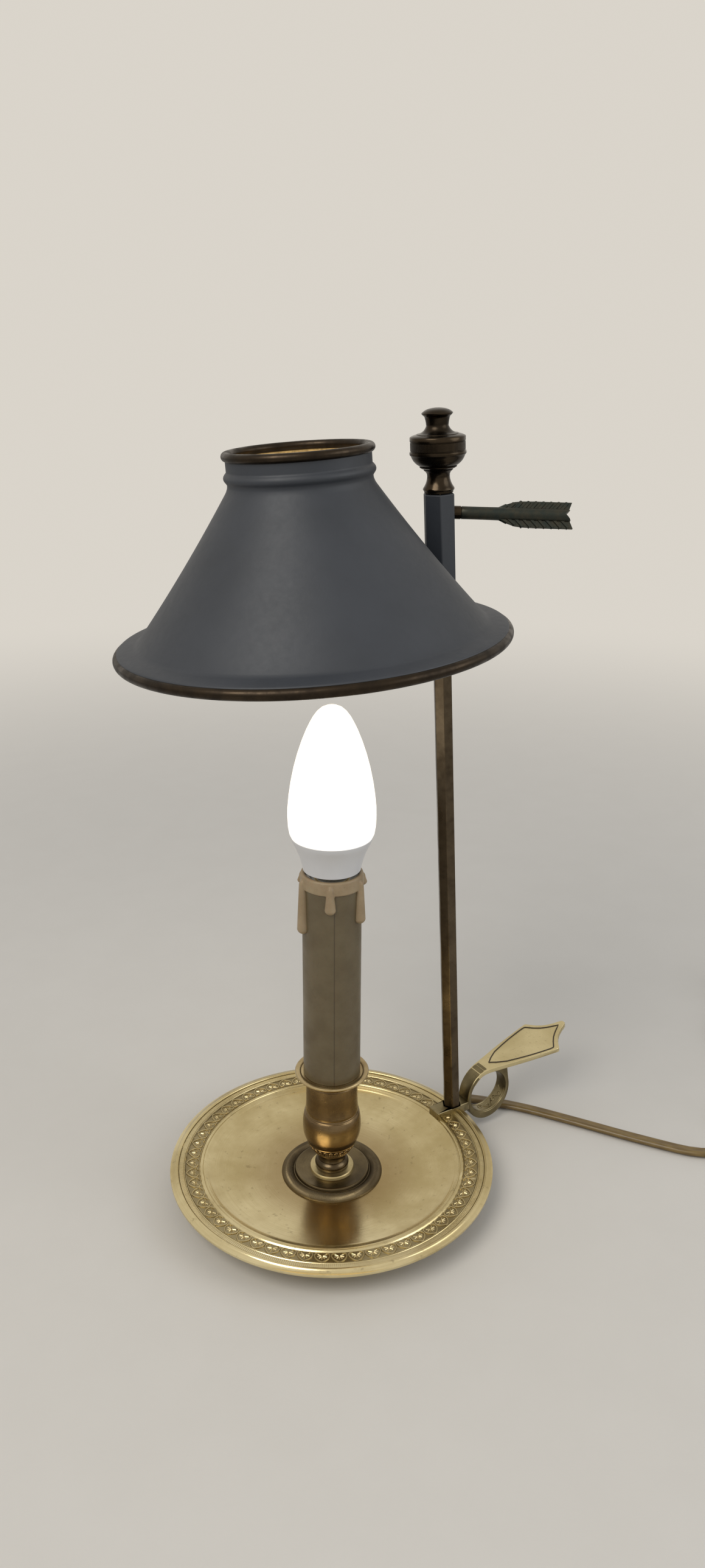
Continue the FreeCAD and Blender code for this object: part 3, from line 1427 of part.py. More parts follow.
def make_link_and_coil():
    knots = coil_knots()
    first, first_way = knots[0]
    entry = first - first_way * dim.coil_lead_in.number
    port = entry - first_way * (dim.link_length.number + dim.switch_wall.number * 2)
    port.z = dim.switch_port_height.number
    touchdown = entry - first_way * (dim.link_length.number / 3)
    swept_cord("cord_link", rounded_path([port, touchdown, entry]))
    edges = [Part.LineSegment(entry, first).toShape()]
    for (start, start_way), (end, end_way) in zip(knots, knots[1:]):
        edges += biarc(start, start_way, end, end_way)
    last, last_way = knots[-1]
    edges.append(Part.LineSegment(last, last + last_way * dim.coil_lead_out.number).toShape())
    path = Part.Wire(edges)
    spacing = dim.cord_thickness.number
    points = path.discretize(Distance=spacing)
    skip = int(dim.coil_outer_radius.number / spacing)
    print("coil: least gap to itself %.2f mm" % least_gap(points, skip))
    swept_cord("cord_coil", path)


# In-line switch: base, cover, rocker, screws

def stadium(body, lift, inset):
    """The switch's outline seen from above, its ends drawn in."""
    sketch = new_sketch(body, "XY_Plane", lift)
    half_length, half_width = dim.switch_length / 2 - inset, dim.switch_width / 2 - inset
    nose = dim.cord_width
    shoulder = half_length - dim.switch_width / 2
    bend = dim.switch_width
    draw_outline(sketch, [
        (-shoulder, -half_width),
        (shoulder, -half_width, bend, LEFT),
        (half_length, -nose),
        (half_length, nose, bend, LEFT),
        (shoulder, half_width),
        (-shoulder, half_width, bend, LEFT),
        (-half_length, nose),
        (-half_length, -nose, bend, LEFT),
    ])
    return sketch


def port_cutter(name):
    width = dim.cord_width + dim.port_clearance * 2
    height = dim.cord_thickness + dim.port_clearance * 2
    return box(name, dim.switch_length * 2, width, height,
               (-dim.switch_length, -width / 2, dim.switch_port_height - height / 2))


def at_switch(thing):
    middle = FreeCAD.Vector(dim.switch_start.number + dim.switch_length.number / 2, dim.switch_row.number, 0)
    thing.Placement = FreeCAD.Placement(middle, FreeCAD.Rotation()).multiply(thing.Placement)
    return thing


def make_switch():
    split = dim.switch_bottom + dim.switch_base_height
    top = split + dim.switch_cover_height
    wall = dim.switch_wall
    base = new_body("switch_base_tray")
    pad(base, stadium(base, dim.switch_bottom, as_size(0)), dim.switch_base_height)
    hollow = stadium(base, dim.switch_bottom + wall, wall)
    pocket_through(base, hollow)
    hole = dim.switch_screw_radius + dim.relief_clearance
    screw_holes = at_screws("switch_base_hole", hole, top, as_size(0))
    keep("switch_base", at_switch(cut("switch_base", base, port_cutter("switch_ports"), *screw_holes)))
    cover = new_body("switch_cover_shell")
    pad(cover, stadium(cover, split, as_size(0)), dim.switch_cover_height)
    inside = stadium(cover, top - wall, wall)
    pocket_through(cover, inside, towards_normal=False)
    window = new_sketch(cover, "XY_Plane", split)
    half_long, half_wide = dim.rocker_length / 2 + dim.rocker_gap, dim.rocker_width / 2 + dim.rocker_gap
    draw_box(window, -half_long, -half_wide, half_long, half_wide)
    pocket_through(cover, window)
    posts = at_screws("switch_post", dim.switch_screw_radius * 2, dim.switch_cover_height - wall, split)
    bores = at_screws("switch_post_bore", dim.switch_screw_radius, dim.switch_cover_height / 2, split)
    keep("switch_cover", at_switch(cut("switch_cover", fuse("switch_cover", cover, *posts), *bores)))
    shanks = at_screws("switch_screw_shank", dim.switch_screw_radius,
                       dim.switch_base_height - wall + dim.switch_cover_height / 2, dim.switch_bottom + wall)
    heads = at_screws("switch_screw_head", dim.switch_screw_radius * 2, wall / 2, dim.switch_bottom + wall)
    screws = [fuse("switch_screw_%d" % index, shank, head)
              for index, (shank, head) in enumerate(zip(shanks, heads))]
    group = shaped("switch_screws", Part.makeCompound([screw.Shape for screw in screws]))
    keep("switch_screws", at_switch(group))
    make_switch_contacts()
    make_rocker(top)


def at_screws(name, radius, height, low):
    """One cylinder at each of the two screws, which stand across the cord's line."""
    reach = dim.switch_length / 2 - dim.switch_screw_inset
    return [cylinder("%s_%d" % (name, index), radius, height,
                     (reach * side, dim.switch_screw_offset * side, low))
            for index, side in enumerate((-1, 1))]


def make_switch_contacts():
    """Two brass bars that meet the cord's ends and rise under the rocker."""
    low = dim.switch_bottom + dim.switch_wall
    width, thick = dim.switch_contact_width, dim.switch_contact_thickness
    inner = dim.switch_contact_gap / 2
    length = dim.switch_length / 2 - dim.switch_wall * 2 - dim.port_clearance - inner
    bars = []
    for side in (-1, 1):
        start = inner if side > 0 else -inner - length
        end = inner if side > 0 else -inner - thick
        bar = box("contact_bar", length, width, thick, (start, -width / 2, low))
        riser = box("contact_riser", thick, width, dim.switch_contact_height, (end, -width / 2, low))
        bars.append(fuse("contact_pair", bar, riser).Shape)
    keep("switch_contacts", at_switch(shaped("switch_contacts", Part.makeCompound(bars))))


def make_rocker(cover_top):
    """A rocker with a shallow valley on top, on two pivot pins under the cover, pressed to one side."""
    half = dim.rocker_length / 2
    rise = dim.rocker_rise
    valley = dim.rocker_pivot_depth
    body = new_body("rocker_rocking")
    sketch = new_sketch(body, "XZ_Plane")
    draw_outline(sketch, [
        (-half / 2, valley - rise * 2.4),
        (half / 2, valley - rise * 2.4),
        (half, valley - rise * 0.4),
        (half, valley + rise * 0.9),
        (0, valley),
        (-half, valley + rise * 0.9),
        (-half, valley - rise * 0.4),
    ])
    pad(body, sketch, dim.rocker_width, both_ways=True)
    reach = dim.rocker_width + (dim.rocker_gap + dim.rocker_pin_radius) * 2
    pin = cylinder("rocker_pin", dim.rocker_pin_radius, reach, (0, reach / 2, 0),
                   FreeCAD.Rotation(FreeCAD.Vector(1, 0, 0), 90))
    rocker = fuse("switch_rocker", body, pin)
    tilt = FreeCAD.Rotation(FreeCAD.Vector(0, 1, 0), dim.rocker_tilt.number)
    rocker.Placement = FreeCAD.Placement(FreeCAD.Vector(0, 0, (cover_top - valley).number), tilt)
    keep("switch_rocker", at_switch(rocker))


# Flat two-pin plug on the coil

def at_plug(thing):
    """The plug's own X axis runs from its cord end to its pins."""
    last, way = coil_knots()[-1]
    port = last + way * dim.coil_lead_out.number
    turn = FreeCAD.Rotation(FreeCAD.Vector(1, 0, 0), way)
    thing.Placement = FreeCAD.Placement(port, turn).multiply(thing.Placement)
    return thing


def make_plug():
    half_width, half_height = dim.plug_width.number / 2, dim.plug_thickness.number / 2
    cord_half, cord_rise = dim.cord_width.number / 2, dim.cord_thickness.number / 2
    wall = dim.relief_wall.number
    boot_end = dim.plug_boot_length
    body_end = boot_end + dim.plug_length
    boot = Part.makeLoft([
        oblong(0, cord_half + wall * 0.5, cord_rise + wall * 0.4),
        oblong(boot_end.number, cord_half + wall * 2.2, cord_rise + wall * 2.2)], True, True)
    shape = Part.makeLoft([
        oblong(boot_end.number, cord_half + wall * 3, half_height * 0.72),
        oblong(boot_end.number + dim.plug_length.number * 0.45, half_width, half_height),
        oblong(body_end.number, half_width, half_height)], True, True)
    rounded = shape.makeFillet(wall, [edge for edge in shape.Edges
                                      if abs(edge.BoundBox.XMax - edge.BoundBox.XMin) > wall])
    keep("plug_body", at_plug(shaped("plug_body", boot.fuse(rounded).removeSplitter())))
    pins = []
    for side in (-1, 1):
        base = FreeCAD.Vector(body_end.number, side * dim.plug_pin_spacing.number / 2, 0)
        pins.append(Part.makeCylinder(dim.plug_pin_radius.number, dim.plug_pin_length.number, base,
                                      FreeCAD.Vector(1, 0, 0)))
    keep("plug_pins", at_plug(shaped("plug_pins", Part.makeCompound(pins))))


def check_and_write():
    doc.recompute()
    for thing in doc.Objects:
        if "Invalid" in thing.State or "Error" in thing.State:
            raise ValueError("%s is %s" % (thing.Name, thing.State))
    os.makedirs("parts", exist_ok=True)
    for name, thing in nodes.items():
        shape = thing.Shape
        if shape.isNull() or not shape.isValid() or not shape.Solids:
            raise ValueError("%s has no sound shape" % name)
        shape.exportStep(os.path.join("parts", name + ".step"))
        print("%-16s %d solid(s), %10.1f mm3" % (name, len(shape.Solids), shape.Volume))


make_saucer()
make_felt_pad()
make_base_weight()
make_centre_fixing()
make_boss()
make_stem()
make_cup()
make_candle()
make_lampholder()
make_bulb()
make_handle()
make_handle_fixings()
make_rod()
make_sleeve()
make_key_boss()
make_key()
make_finial()
make_shade()
make_cord_exit()
make_lead()
make_wires()
make_link_and_coil()
make_switch()
make_plug()
check_and_write()
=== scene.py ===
# %% [markdown]
# # A table lamp with a sliding shade
# The lamp is an old kind of reading light: a brass saucer carries a candle light in a turned cup, and
# a leaning hexagonal rod at the rim carries a painted metal shade that slides up and down.  A key
# shaped like an arrow clamps it.  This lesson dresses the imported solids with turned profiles,
# relief, wax, paint and worn brass.  Lengths in the lists are millimetres, and Blender's are metres.

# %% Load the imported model
import math

import bpy
from mathutils import Matrix, Vector


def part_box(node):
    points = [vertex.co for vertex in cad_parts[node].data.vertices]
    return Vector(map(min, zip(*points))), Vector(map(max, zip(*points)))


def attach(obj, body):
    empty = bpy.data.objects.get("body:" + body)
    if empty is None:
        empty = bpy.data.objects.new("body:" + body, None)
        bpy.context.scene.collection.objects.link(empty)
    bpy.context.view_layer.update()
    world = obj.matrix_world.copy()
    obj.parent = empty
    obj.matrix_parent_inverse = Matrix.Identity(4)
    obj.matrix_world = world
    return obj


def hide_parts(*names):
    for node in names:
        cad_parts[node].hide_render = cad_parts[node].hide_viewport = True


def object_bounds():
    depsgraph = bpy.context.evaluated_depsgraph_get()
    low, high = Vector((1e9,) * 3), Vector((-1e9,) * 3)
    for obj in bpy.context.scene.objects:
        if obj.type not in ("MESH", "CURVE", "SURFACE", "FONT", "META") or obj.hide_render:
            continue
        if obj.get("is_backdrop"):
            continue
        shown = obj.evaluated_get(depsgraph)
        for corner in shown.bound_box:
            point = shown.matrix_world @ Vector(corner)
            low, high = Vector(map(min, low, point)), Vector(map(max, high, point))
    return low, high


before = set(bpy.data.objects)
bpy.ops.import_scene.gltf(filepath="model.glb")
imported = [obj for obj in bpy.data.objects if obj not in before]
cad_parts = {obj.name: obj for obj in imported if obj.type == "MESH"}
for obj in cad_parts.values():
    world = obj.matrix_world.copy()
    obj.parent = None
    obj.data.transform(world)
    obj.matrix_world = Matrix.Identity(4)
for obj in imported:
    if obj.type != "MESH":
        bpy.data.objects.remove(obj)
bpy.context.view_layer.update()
MM = 0.001

# %% [markdown]
# ## The camera
# The photograph was taken from close by, slightly above, with an upright frame.  Its direction and
# its distance were solved from the rings of the saucer, so the camera is set from those angles
# instead of being moved about by eye.

# %% Place the camera
IMAGE_WIDTH, IMAGE_HEIGHT = 1159, 2576
FOCAL_PIXELS = 1900
LOOK_DOWN, LOOK_ROLL, LOOK_ASIDE = (math.radians(angle) for angle in (19.7993, -0.3733, 1.0844))
LAMP_TURN = math.radians(-31.7)

right = Vector((math.cos(LOOK_ASIDE), -math.sin(LOOK_ASIDE), 0))
forward = Vector((math.cos(LOOK_DOWN) * math.sin(LOOK_ASIDE), math.cos(LOOK_DOWN) * math.cos(LOOK_ASIDE),
                  -math.sin(LOOK_DOWN)))
upward = right.cross(forward)
camera_axes = Matrix((right, upward, -forward)).transposed()
camera_axes = camera_axes @ Matrix.Rotation(-LOOK_ROLL, 3, "Z")
camera_axes = Matrix.Rotation(LAMP_TURN, 3, "Z") @ camera_axes
eye = Matrix.Rotation(LAMP_TURN, 3, "Z") @ Vector((0, -438.502, 352.8)) * MM

camera_data = bpy.data.cameras.new("camera")
camera_data.sensor_fit = "VERTICAL"
camera_data.sensor_height = 36
camera_data.lens = 36 * FOCAL_PIXELS / IMAGE_HEIGHT
camera_data.clip_start = 0.01
camera_data.clip_end = 50
camera = bpy.data.objects.new("camera", camera_data)
camera.matrix_world = Matrix.Translation(eye) @ camera_axes.to_4x4()
bpy.context.scene.collection.objects.link(camera)
bpy.context.scene.camera = camera
bpy.context.scene.view_settings.view_transform = "Standard"
print("camera at", [round(value, 4) for value in eye])

# %% [markdown]
# ## Floor and light
# A plain pale floor and a soft pale surround stand in for a photographer's table.  One large lamp
# from the upper left, a weaker one from the right and a low even surround keep the paint and the
# brass at about the colour that their materials are given.

# %% Build the floor and the lights
def clear_selection():
    """Leaves edit mode and deselects everything, because an operator acts on all that is selected."""
    if bpy.context.mode != "OBJECT":
        bpy.ops.object.mode_set(mode="OBJECT")
    bpy.ops.object.select_all(action="DESELECT")


clear_selection()
bpy.ops.mesh.primitive_circle_add(vertices=96, radius=9, fill_type="NGON", location=(0, 0, -0.0002))
floor = bpy.context.object
floor.name = "floor"
bpy.ops.object.transform_apply(location=True, rotation=True, scale=True)
floor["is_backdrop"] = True


def soft_lamp(name, place, aim, size, watts, tint):
    data = bpy.data.lights.new(name, "AREA")
    data.shape = "DISK"
    data.size = size
    data.energy = watts
    data.color = tint
    lamp = bpy.data.objects.new(name, data)
    lamp.location = place
    lamp.rotation_euler = (Vector(aim) - Vector(place)).to_track_quat("-Z", "Y").to_euler()
    bpy.context.scene.collection.objects.link(lamp)
    return lamp


soft_lamp("key_light", (-0.95, -0.35, 1.25), (0, 0, 0.14), 0.9, 11, (1.0, 0.97, 0.92))
soft_lamp("fill_light", (0.75, -0.85, 0.75), (0, 0, 0.16), 0.9, 4, (0.94, 0.97, 1.0))

# %% [markdown]
# ## The cord
# The lamp's lead is a flat twin cord.  It leaves the foot through a tapered bush, bends round on the
# table and goes through an in-line switch to its plug; the length that isn't in use lies coiled
# beside the switch.  Its line is one NURBS curve, because real cord bends smoothly and never in
# straight runs, and the flat section follows the points of that curve.

# %% Draw the cord's line
LEAD = [(34.77, 12.65, 3.1), (77.05, 28.05, 3.1), (106.0, 3.0, 1.7), (126.4, -28.9, 1.7),
        (140.7, -52.6, 1.7), (163.0, -85.3, 1.7), (199.2, -85.3, 3.6)]
LINK = [(222.0, -85.3, 3.6), (244.8, -85.3, 3.6), (266.67, -85.3, 1.7), (276.0, -85.3, 1.7)]
COIL_MIDDLE = (284.0, -40.8)
COIL_OUTSIDE, COIL_PITCH, COIL_DIP = 44.5, 5.9, 2.4
LOWER_TURNS, UPPER_TURNS = 3.5, 2.75
LOWER_HEIGHT, UPPER_HEIGHT, PLUG_HEIGHT = 1.7, 6.1, 14.65
POINTS_A_TURN = 24


def ease(share):
    return share * share * (3 - 2 * share)


def coil_corner(turn):
    """The corner of the cord's line after so many turns: in on the table, up, and out on top."""
    inner = COIL_OUTSIDE - COIL_PITCH * LOWER_TURNS
    top_turn = turn - LOWER_TURNS - 0.5
    if turn <= LOWER_TURNS:
        radius, height = COIL_OUTSIDE - COIL_PITCH * turn, LOWER_HEIGHT
    elif top_turn <= 0:
        share = (turn - LOWER_TURNS) / 0.5
        radius = inner - COIL_DIP * math.sin(math.pi * share)
        height = LOWER_HEIGHT + (UPPER_HEIGHT - LOWER_HEIGHT) * ease(share)
    else:
        radius = inner + COIL_PITCH * top_turn
        climb = max(0.0, (top_turn - UPPER_TURNS) / 0.5)
        height = UPPER_HEIGHT + (PLUG_HEIGHT - UPPER_HEIGHT) * ease(climb)
    radius /= math.cos(math.pi / POINTS_A_TURN)
    angle = math.tau * turn - math.pi / 2
    return (COIL_MIDDLE[0] + radius * math.cos(angle), COIL_MIDDLE[1] + radius * math.sin(angle), height)


turns = LOWER_TURNS + 0.5 + UPPER_TURNS + 0.25
steps = round(turns * POINTS_A_TURN)
coil = [coil_corner(step / POINTS_A_TURN) for step in range(steps + 1)]
landing = Vector((312.63, -54.99, PLUG_HEIGHT))
TURN_IN = 28.0
turn_in_middle = landing + Vector((-TURN_IN, 0, 0))
turn_in = []
for step in range(1, 6):
    angle = math.radians(-90 + 18 * step)
    share = 0.5 + step / 10
    turn_in.append((turn_in_middle.x + TURN_IN * math.cos(angle), turn_in_middle.y + TURN_IN * math.sin(angle),
                    UPPER_HEIGHT + (PLUG_HEIGHT - UPPER_HEIGHT) * ease(share)))
plug_port = (312.75, -49.4, PLUG_HEIGHT)
route = LEAD + LINK + coil + turn_in + [plug_port]

line_data = bpy.data.curves.new("cord_line", "CURVE")
line_data.dimensions = "3D"
spline = line_data.splines.new("NURBS")
spline.points.add(len(route) - 1)
for point, corner in zip(spline.points, route):
    point.co = (*[value * MM for value in corner], 1)
spline.order_u = 3
spline.use_endpoint_u = True
line_data.resolution_u = 6
line_object = bpy.data.objects.new("cord_line", line_data)
bpy.context.scene.collection.objects.link(line_object)
bpy.context.view_layer.update()
line_mesh = bpy.data.meshes.new_from_object(line_object)
cord_path = [vertex.co.copy() for vertex in line_mesh.vertices]
bpy.data.objects.remove(line_object)
cord_length = sum((there - here).length for here, there in zip(cord_path, cord_path[1:]))
print("cord: %d points, %.3f m long" % (len(cord_path), cord_length))

# %% [markdown]
# The section has two round lobes with a shallow valley between them, as a cord with two cores has.
# A mesh tube keeps it lying flat: each ring of corners stands square to the line and level across.

# %% Skin the cord
CORD_WIDTH, CORD_THICKNESS = 5.4, 2.8


def cord_section(count=9):
    """Corners round the two lobes, as (across, up) shares of the section."""
    lobe = CORD_THICKNESS / 2
    reach = CORD_WIDTH / 2 - lobe
    corners = []
    for side in (1, -1):
        for step in range(count):
            angle = math.radians(-112 + 224 * step / (count - 1)) + (0 if side > 0 else math.pi)
            corners.append((side * reach + lobe * math.cos(angle), lobe * math.sin(angle)))
    return corners


def skin(name, path, section):
    """A closed tube of the section along the path, level across, with a UV map along and round it."""
    vertices, uvs = [], []
    travelled = 0.0
    for index, here in enumerate(path):
        before, after = path[max(index - 1, 0)], path[min(index + 1, len(path) - 1)]
        way = (after - before).normalized()
        across = way.cross(Vector((0, 0, 1))).normalized()
        up = across.cross(way)
        travelled += (here - path[index - 1]).length if index else 0.0
        for corner, (aside, rise) in enumerate(section):
            vertices.append(here + (across * aside + up * rise) * MM)
            uvs.append((corner / len(section), travelled / MM))
    count = len(section)
    faces = []
    for ring in range(len(path) - 1):
        for corner in range(count):
            following = (corner + 1) % count
            faces.append((ring * count + corner, ring * count + following,
                          (ring + 1) * count + following, (ring + 1) * count + corner))
    faces.append(tuple(reversed(range(count))))
    faces.append(tuple(range((len(path) - 1) * count, len(path) * count)))
    mesh = bpy.data.meshes.new(name)
    mesh.from_pydata(vertices, [], faces)
    layer = mesh.uv_layers.new(name="along")
    for loop in mesh.loops:
        layer.data[loop.index].uv = uvs[loop.vertex_index]
    piece = bpy.data.objects.new(name, mesh)
    bpy.context.scene.collection.objects.link(piece)
    clear_selection()
    piece.select_set(True)
    bpy.context.view_layer.objects.active = piece
    bpy.ops.object.mode_set(mode="EDIT")
    bpy.ops.mesh.select_all(action="SELECT")
    bpy.ops.mesh.normals_make_consistent(inside=False)
    bpy.ops.object.mode_set(mode="OBJECT")
    bpy.ops.object.shade_smooth_by_angle(angle=math.radians(50))
    return piece


cord = skin("mains_cord", cord_path, cord_section())
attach(cord, "lamp")
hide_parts("cord_lead", "cord_link", "cord_coil")
print("cord mesh:", len(cord.data.polygons), "faces")

# %% [markdown]
# ## Shader groups
# Wear, grain, turning marks and ribs come back in many finishes.  Each is a node group, built once,
# with inputs for its scale and its strength.  A group gives only masks and heights; every material
# keeps its own Principled shader.

# %% Helpers for shader nodes
def add_node(tree, kind, values=None, **settings):
    """Adds a node; values fill its inputs with numbers or link them to other sockets."""
    made = tree.nodes.new(kind)
    for key, value in settings.items():
        setattr(made, key, value)
    for key, value in (values or {}).items():
        if isinstance(value, bpy.types.NodeSocket):
            tree.links.new(value, made.inputs[key])
        else:
            made.inputs[key].default_value = value
    return made


def maths(tree, operation, *values, clamp=False):
    return add_node(tree, "ShaderNodeMath", dict(enumerate(values)), operation=operation,
                    use_clamp=clamp).outputs[0]


def ramp(tree, value, low, high, smooth=True):
    """0 below low and 1 above high."""
    return add_node(tree, "ShaderNodeMapRange", {"Value": value, "From Min": low, "From Max": high},
                    interpolation_type="SMOOTHSTEP" if smooth else "LINEAR").outputs["Result"]


def blend_colours(tree, share, first, second, way="MIX"):
    mixer = tree.nodes.new("ShaderNodeMix")
    mixer.data_type = "RGBA"
    mixer.blend_type = way
    for index, value in ((0, share), (6, first), (7, second)):
        if isinstance(value, bpy.types.NodeSocket):
            tree.links.new(value, mixer.inputs[index])
        elif index == 0:
            mixer.inputs[index].default_value = value
        else:
            mixer.inputs[index].default_value = (*value, 1)
    return mixer.outputs[2]


def new_group(name, inputs, outputs):
    """A node group with the given inputs (name: default or None for a vector) and outputs."""
    tree = bpy.data.node_groups.new(name, "ShaderNodeTree")
    for socket, default in inputs.items():
        kind = "NodeSocketVector" if default is None else "NodeSocketFloat"
        made = tree.interface.new_socket(name=socket, in_out="INPUT", socket_type=kind)
        if default is not None:
            made.default_value = default
    for socket in outputs:
        tree.interface.new_socket(name=socket, in_out="OUTPUT", socket_type="NodeSocketFloat")
    return tree, tree.nodes.new("NodeGroupInput").outputs, tree.nodes.new("NodeGroupOutput").inputs


def use_group(tree, name, values):
    made = tree.nodes.new("ShaderNodeGroup")
    made.node_tree = bpy.data.node_groups[name]
    for key, value in values.items():
        if isinstance(value, bpy.types.NodeSocket):
            tree.links.new(value, made.inputs[key])
        else:
            made.inputs[key].default_value = value
    return made.outputs


# %% Groups for wear, mottling, turning marks, ribs and bands
def build_mottle():
    """Soft patches with finer specks inside them."""
    tree, given, result = new_group("mottle", {"Place": None, "Scale": 60.0, "Contrast": 0.5},
                                    ("Patches", "Specks", "Height"))
    wide = add_node(tree, "ShaderNodeTexNoise", {"Vector": given["Place"], "Scale": given["Scale"],
                                                 "Detail": 5.0, "Roughness": 0.6})
    fine_scale = maths(tree, "MULTIPLY", given["Scale"], 14.0)
    fine = add_node(tree, "ShaderNodeTexNoise", {"Vector": given["Place"], "Scale": fine_scale,
                                                 "Detail": 3.0, "Roughness": 0.7})
    spread = maths(tree, "MULTIPLY", given["Contrast"], 0.24)
    low = maths(tree, "SUBTRACT", 0.5, maths(tree, "SUBTRACT", 0.26, spread))
    high = maths(tree, "ADD", 0.5, maths(tree, "SUBTRACT", 0.26, spread))
    patches = ramp(tree, wide.outputs["Fac"], low, high)
    specks = ramp(tree, fine.outputs["Fac"], 0.6, 0.72)
    tree.links.new(patches, result["Patches"])
    tree.links.new(specks, result["Specks"])
    tree.links.new(fine.outputs["Fac"], result["Height"])


def build_edge_wear():
    """Raised edges rubbed bright, and hollows from ambient occlusion darkened as dirt and painted shade, from the shape
    itself.
    """
    tree, given, result = new_group("wear, dirt and shade", {"Place": None, "Reach": 0.0015}, ("Worn", "Dirt And Shade"))
    geometry = tree.nodes.new("ShaderNodeNewGeometry")
    rub = add_node(tree, "ShaderNodeTexNoise", {"Vector": given["Place"], "Scale": 260.0, "Detail": 4.0})
    worn = ramp(tree, geometry.outputs["Pointiness"], 0.51, 0.58)
    worn = maths(tree, "MULTIPLY", worn, ramp(tree, rub.outputs["Fac"], 0.3, 0.6), clamp=True)
    # Ambient occlusion measures how much light the nearby shape shuts out, so this mask paints shade as well as dirt.
    hollow = add_node(tree, "ShaderNodeAmbientOcclusion", {"Distance": given["Reach"]}, samples=6,
                      only_local=True)
    dirt_and_shade = ramp(tree, maths(tree, "SUBTRACT", 1.0, hollow.outputs["AO"]), 0.15, 0.75)
    dirt_and_shade = maths(tree, "MULTIPLY", dirt_and_shade, ramp(tree, rub.outputs["Fac"], 0.2, 0.5), clamp=True)
    tree.links.new(worn, result["Worn"])
    tree.links.new(dirt_and_shade, result["Dirt And Shade"])


def polar(tree, place):
    """The radius and the angle, 0 to 1, round the Z axis."""
    parts = add_node(tree, "ShaderNodeSeparateXYZ", {"Vector": place}).outputs
    squares = maths(tree, "ADD", maths(tree, "MULTIPLY", parts["X"], parts["X"]),
                    maths(tree, "MULTIPLY", parts["Y"], parts["Y"]))
    angle = maths(tree, "ARCTAN2", parts["Y"], parts["X"])
    return maths(tree, "SQRT", squares), maths(tree, "DIVIDE", angle, math.tau), parts["Z"]


def build_turning_marks():
    """Fine rings left by the lathe and by polishing, broken up along their way."""
    tree, given, result = new_group("turning marks", {"Place": None, "Lines": 2.2}, ("Height", "Streaks"))
    radius, angle, height = polar(tree, given["Place"])
    reach = maths(tree, "MULTIPLY", maths(tree, "ADD", radius, maths(tree, "MULTIPLY", height, 0.9)), 1000.0)
    around = maths(tree, "ABSOLUTE", angle)
    spot = add_node(tree, "ShaderNodeCombineXYZ", {
        "X": maths(tree, "MULTIPLY", reach, given["Lines"]), "Y": maths(tree, "MULTIPLY", around, 9.0)})
    lines = add_node(tree, "ShaderNodeTexNoise", {"Vector": spot.outputs[0], "Scale": 1.0, "Detail": 6.0,
                                                  "Roughness": 0.75})
    tree.links.new(lines.outputs["Fac"], result["Height"])
    tree.links.new(ramp(tree, lines.outputs["Fac"], 0.35, 0.65), result["Streaks"])


def build_ribs():
    """Straight ribs side by side round the Z axis, between two radii or two heights."""
    tree, given, result = new_group(
        "ribs", {"Place": None, "Count": 300.0, "Low": 0.0, "High": 1.0, "By Height": 0.0}, ("Height", "Band"))
    radius, angle, height = polar(tree, given["Place"])
    measure = add_node(tree, "ShaderNodeMix", {0: given["By Height"], 2: radius, 3: height}).outputs[0]
    soft = 0.00012
    above = ramp(tree, measure, maths(tree, "SUBTRACT", given["Low"], soft), given["Low"])
    below = ramp(tree, measure, given["High"], maths(tree, "ADD", given["High"], soft))
    band = maths(tree, "MULTIPLY", above, maths(tree, "SUBTRACT", 1.0, below), clamp=True)
    turn = maths(tree, "MULTIPLY", angle, maths(tree, "MULTIPLY", given["Count"], math.tau))
    wave = maths(tree, "MULTIPLY_ADD", maths(tree, "SINE", turn), 0.5, 0.5)
    tree.links.new(maths(tree, "MULTIPLY", wave, band), result["Height"])
    tree.links.new(band, result["Band"])


build_mottle()
build_edge_wear()
build_turning_marks()
build_ribs()
print("groups:", [group.name for group in bpy.data.node_groups])

# %% [markdown]
# ## Finishes
# The brass is waxed and aged: pale where hands and cloths rub it, olive and brown in the hollows,
# where an occlusion mask paints tarnish and shade together.
# Its rings still show the lathe.  The shade is satin paint, the candle is a cast plastic sleeve, and
# the cord is a glossy translucent brown.

# %% A material's frame
def new_material(name, roughness=0.5, metallic=0.0, **plain):
    """A material with its Principled shader; plain values go on the shader's own sockets."""
    material = bpy.data.materials.new(name)
    material.use_nodes = True
    shader = material.node_tree.nodes["Principled BSDF"]
    shader.inputs["Roughness"].default_value = roughness
    shader.inputs["Metallic"].default_value = metallic
    for socket, value in plain.items():
        shader.inputs[socket.replace("_", " ")].default_value = value
    place = material.node_tree.nodes.new("ShaderNodeTexCoord").outputs["Object"]
    return material, material.node_tree, shader, place


def set_bump(tree, shader, height, distance, strength=1.0):
    bump = add_node(tree, "ShaderNodeBump", {"Height": height, "Distance": distance, "Strength": strength})
    tree.links.new(bump.outputs["Normal"], shader.inputs["Normal"])


def turned_place(tree, place, shift, lean=0.0):
    """The place as seen from a piece's own axis: moved, then tipped about Y."""
    made = add_node(tree, "ShaderNodeMapping", {"Vector": place, "Location": shift,
                                                "Rotation": (0, math.radians(lean), 0)})
    return made.outputs["Vector"]


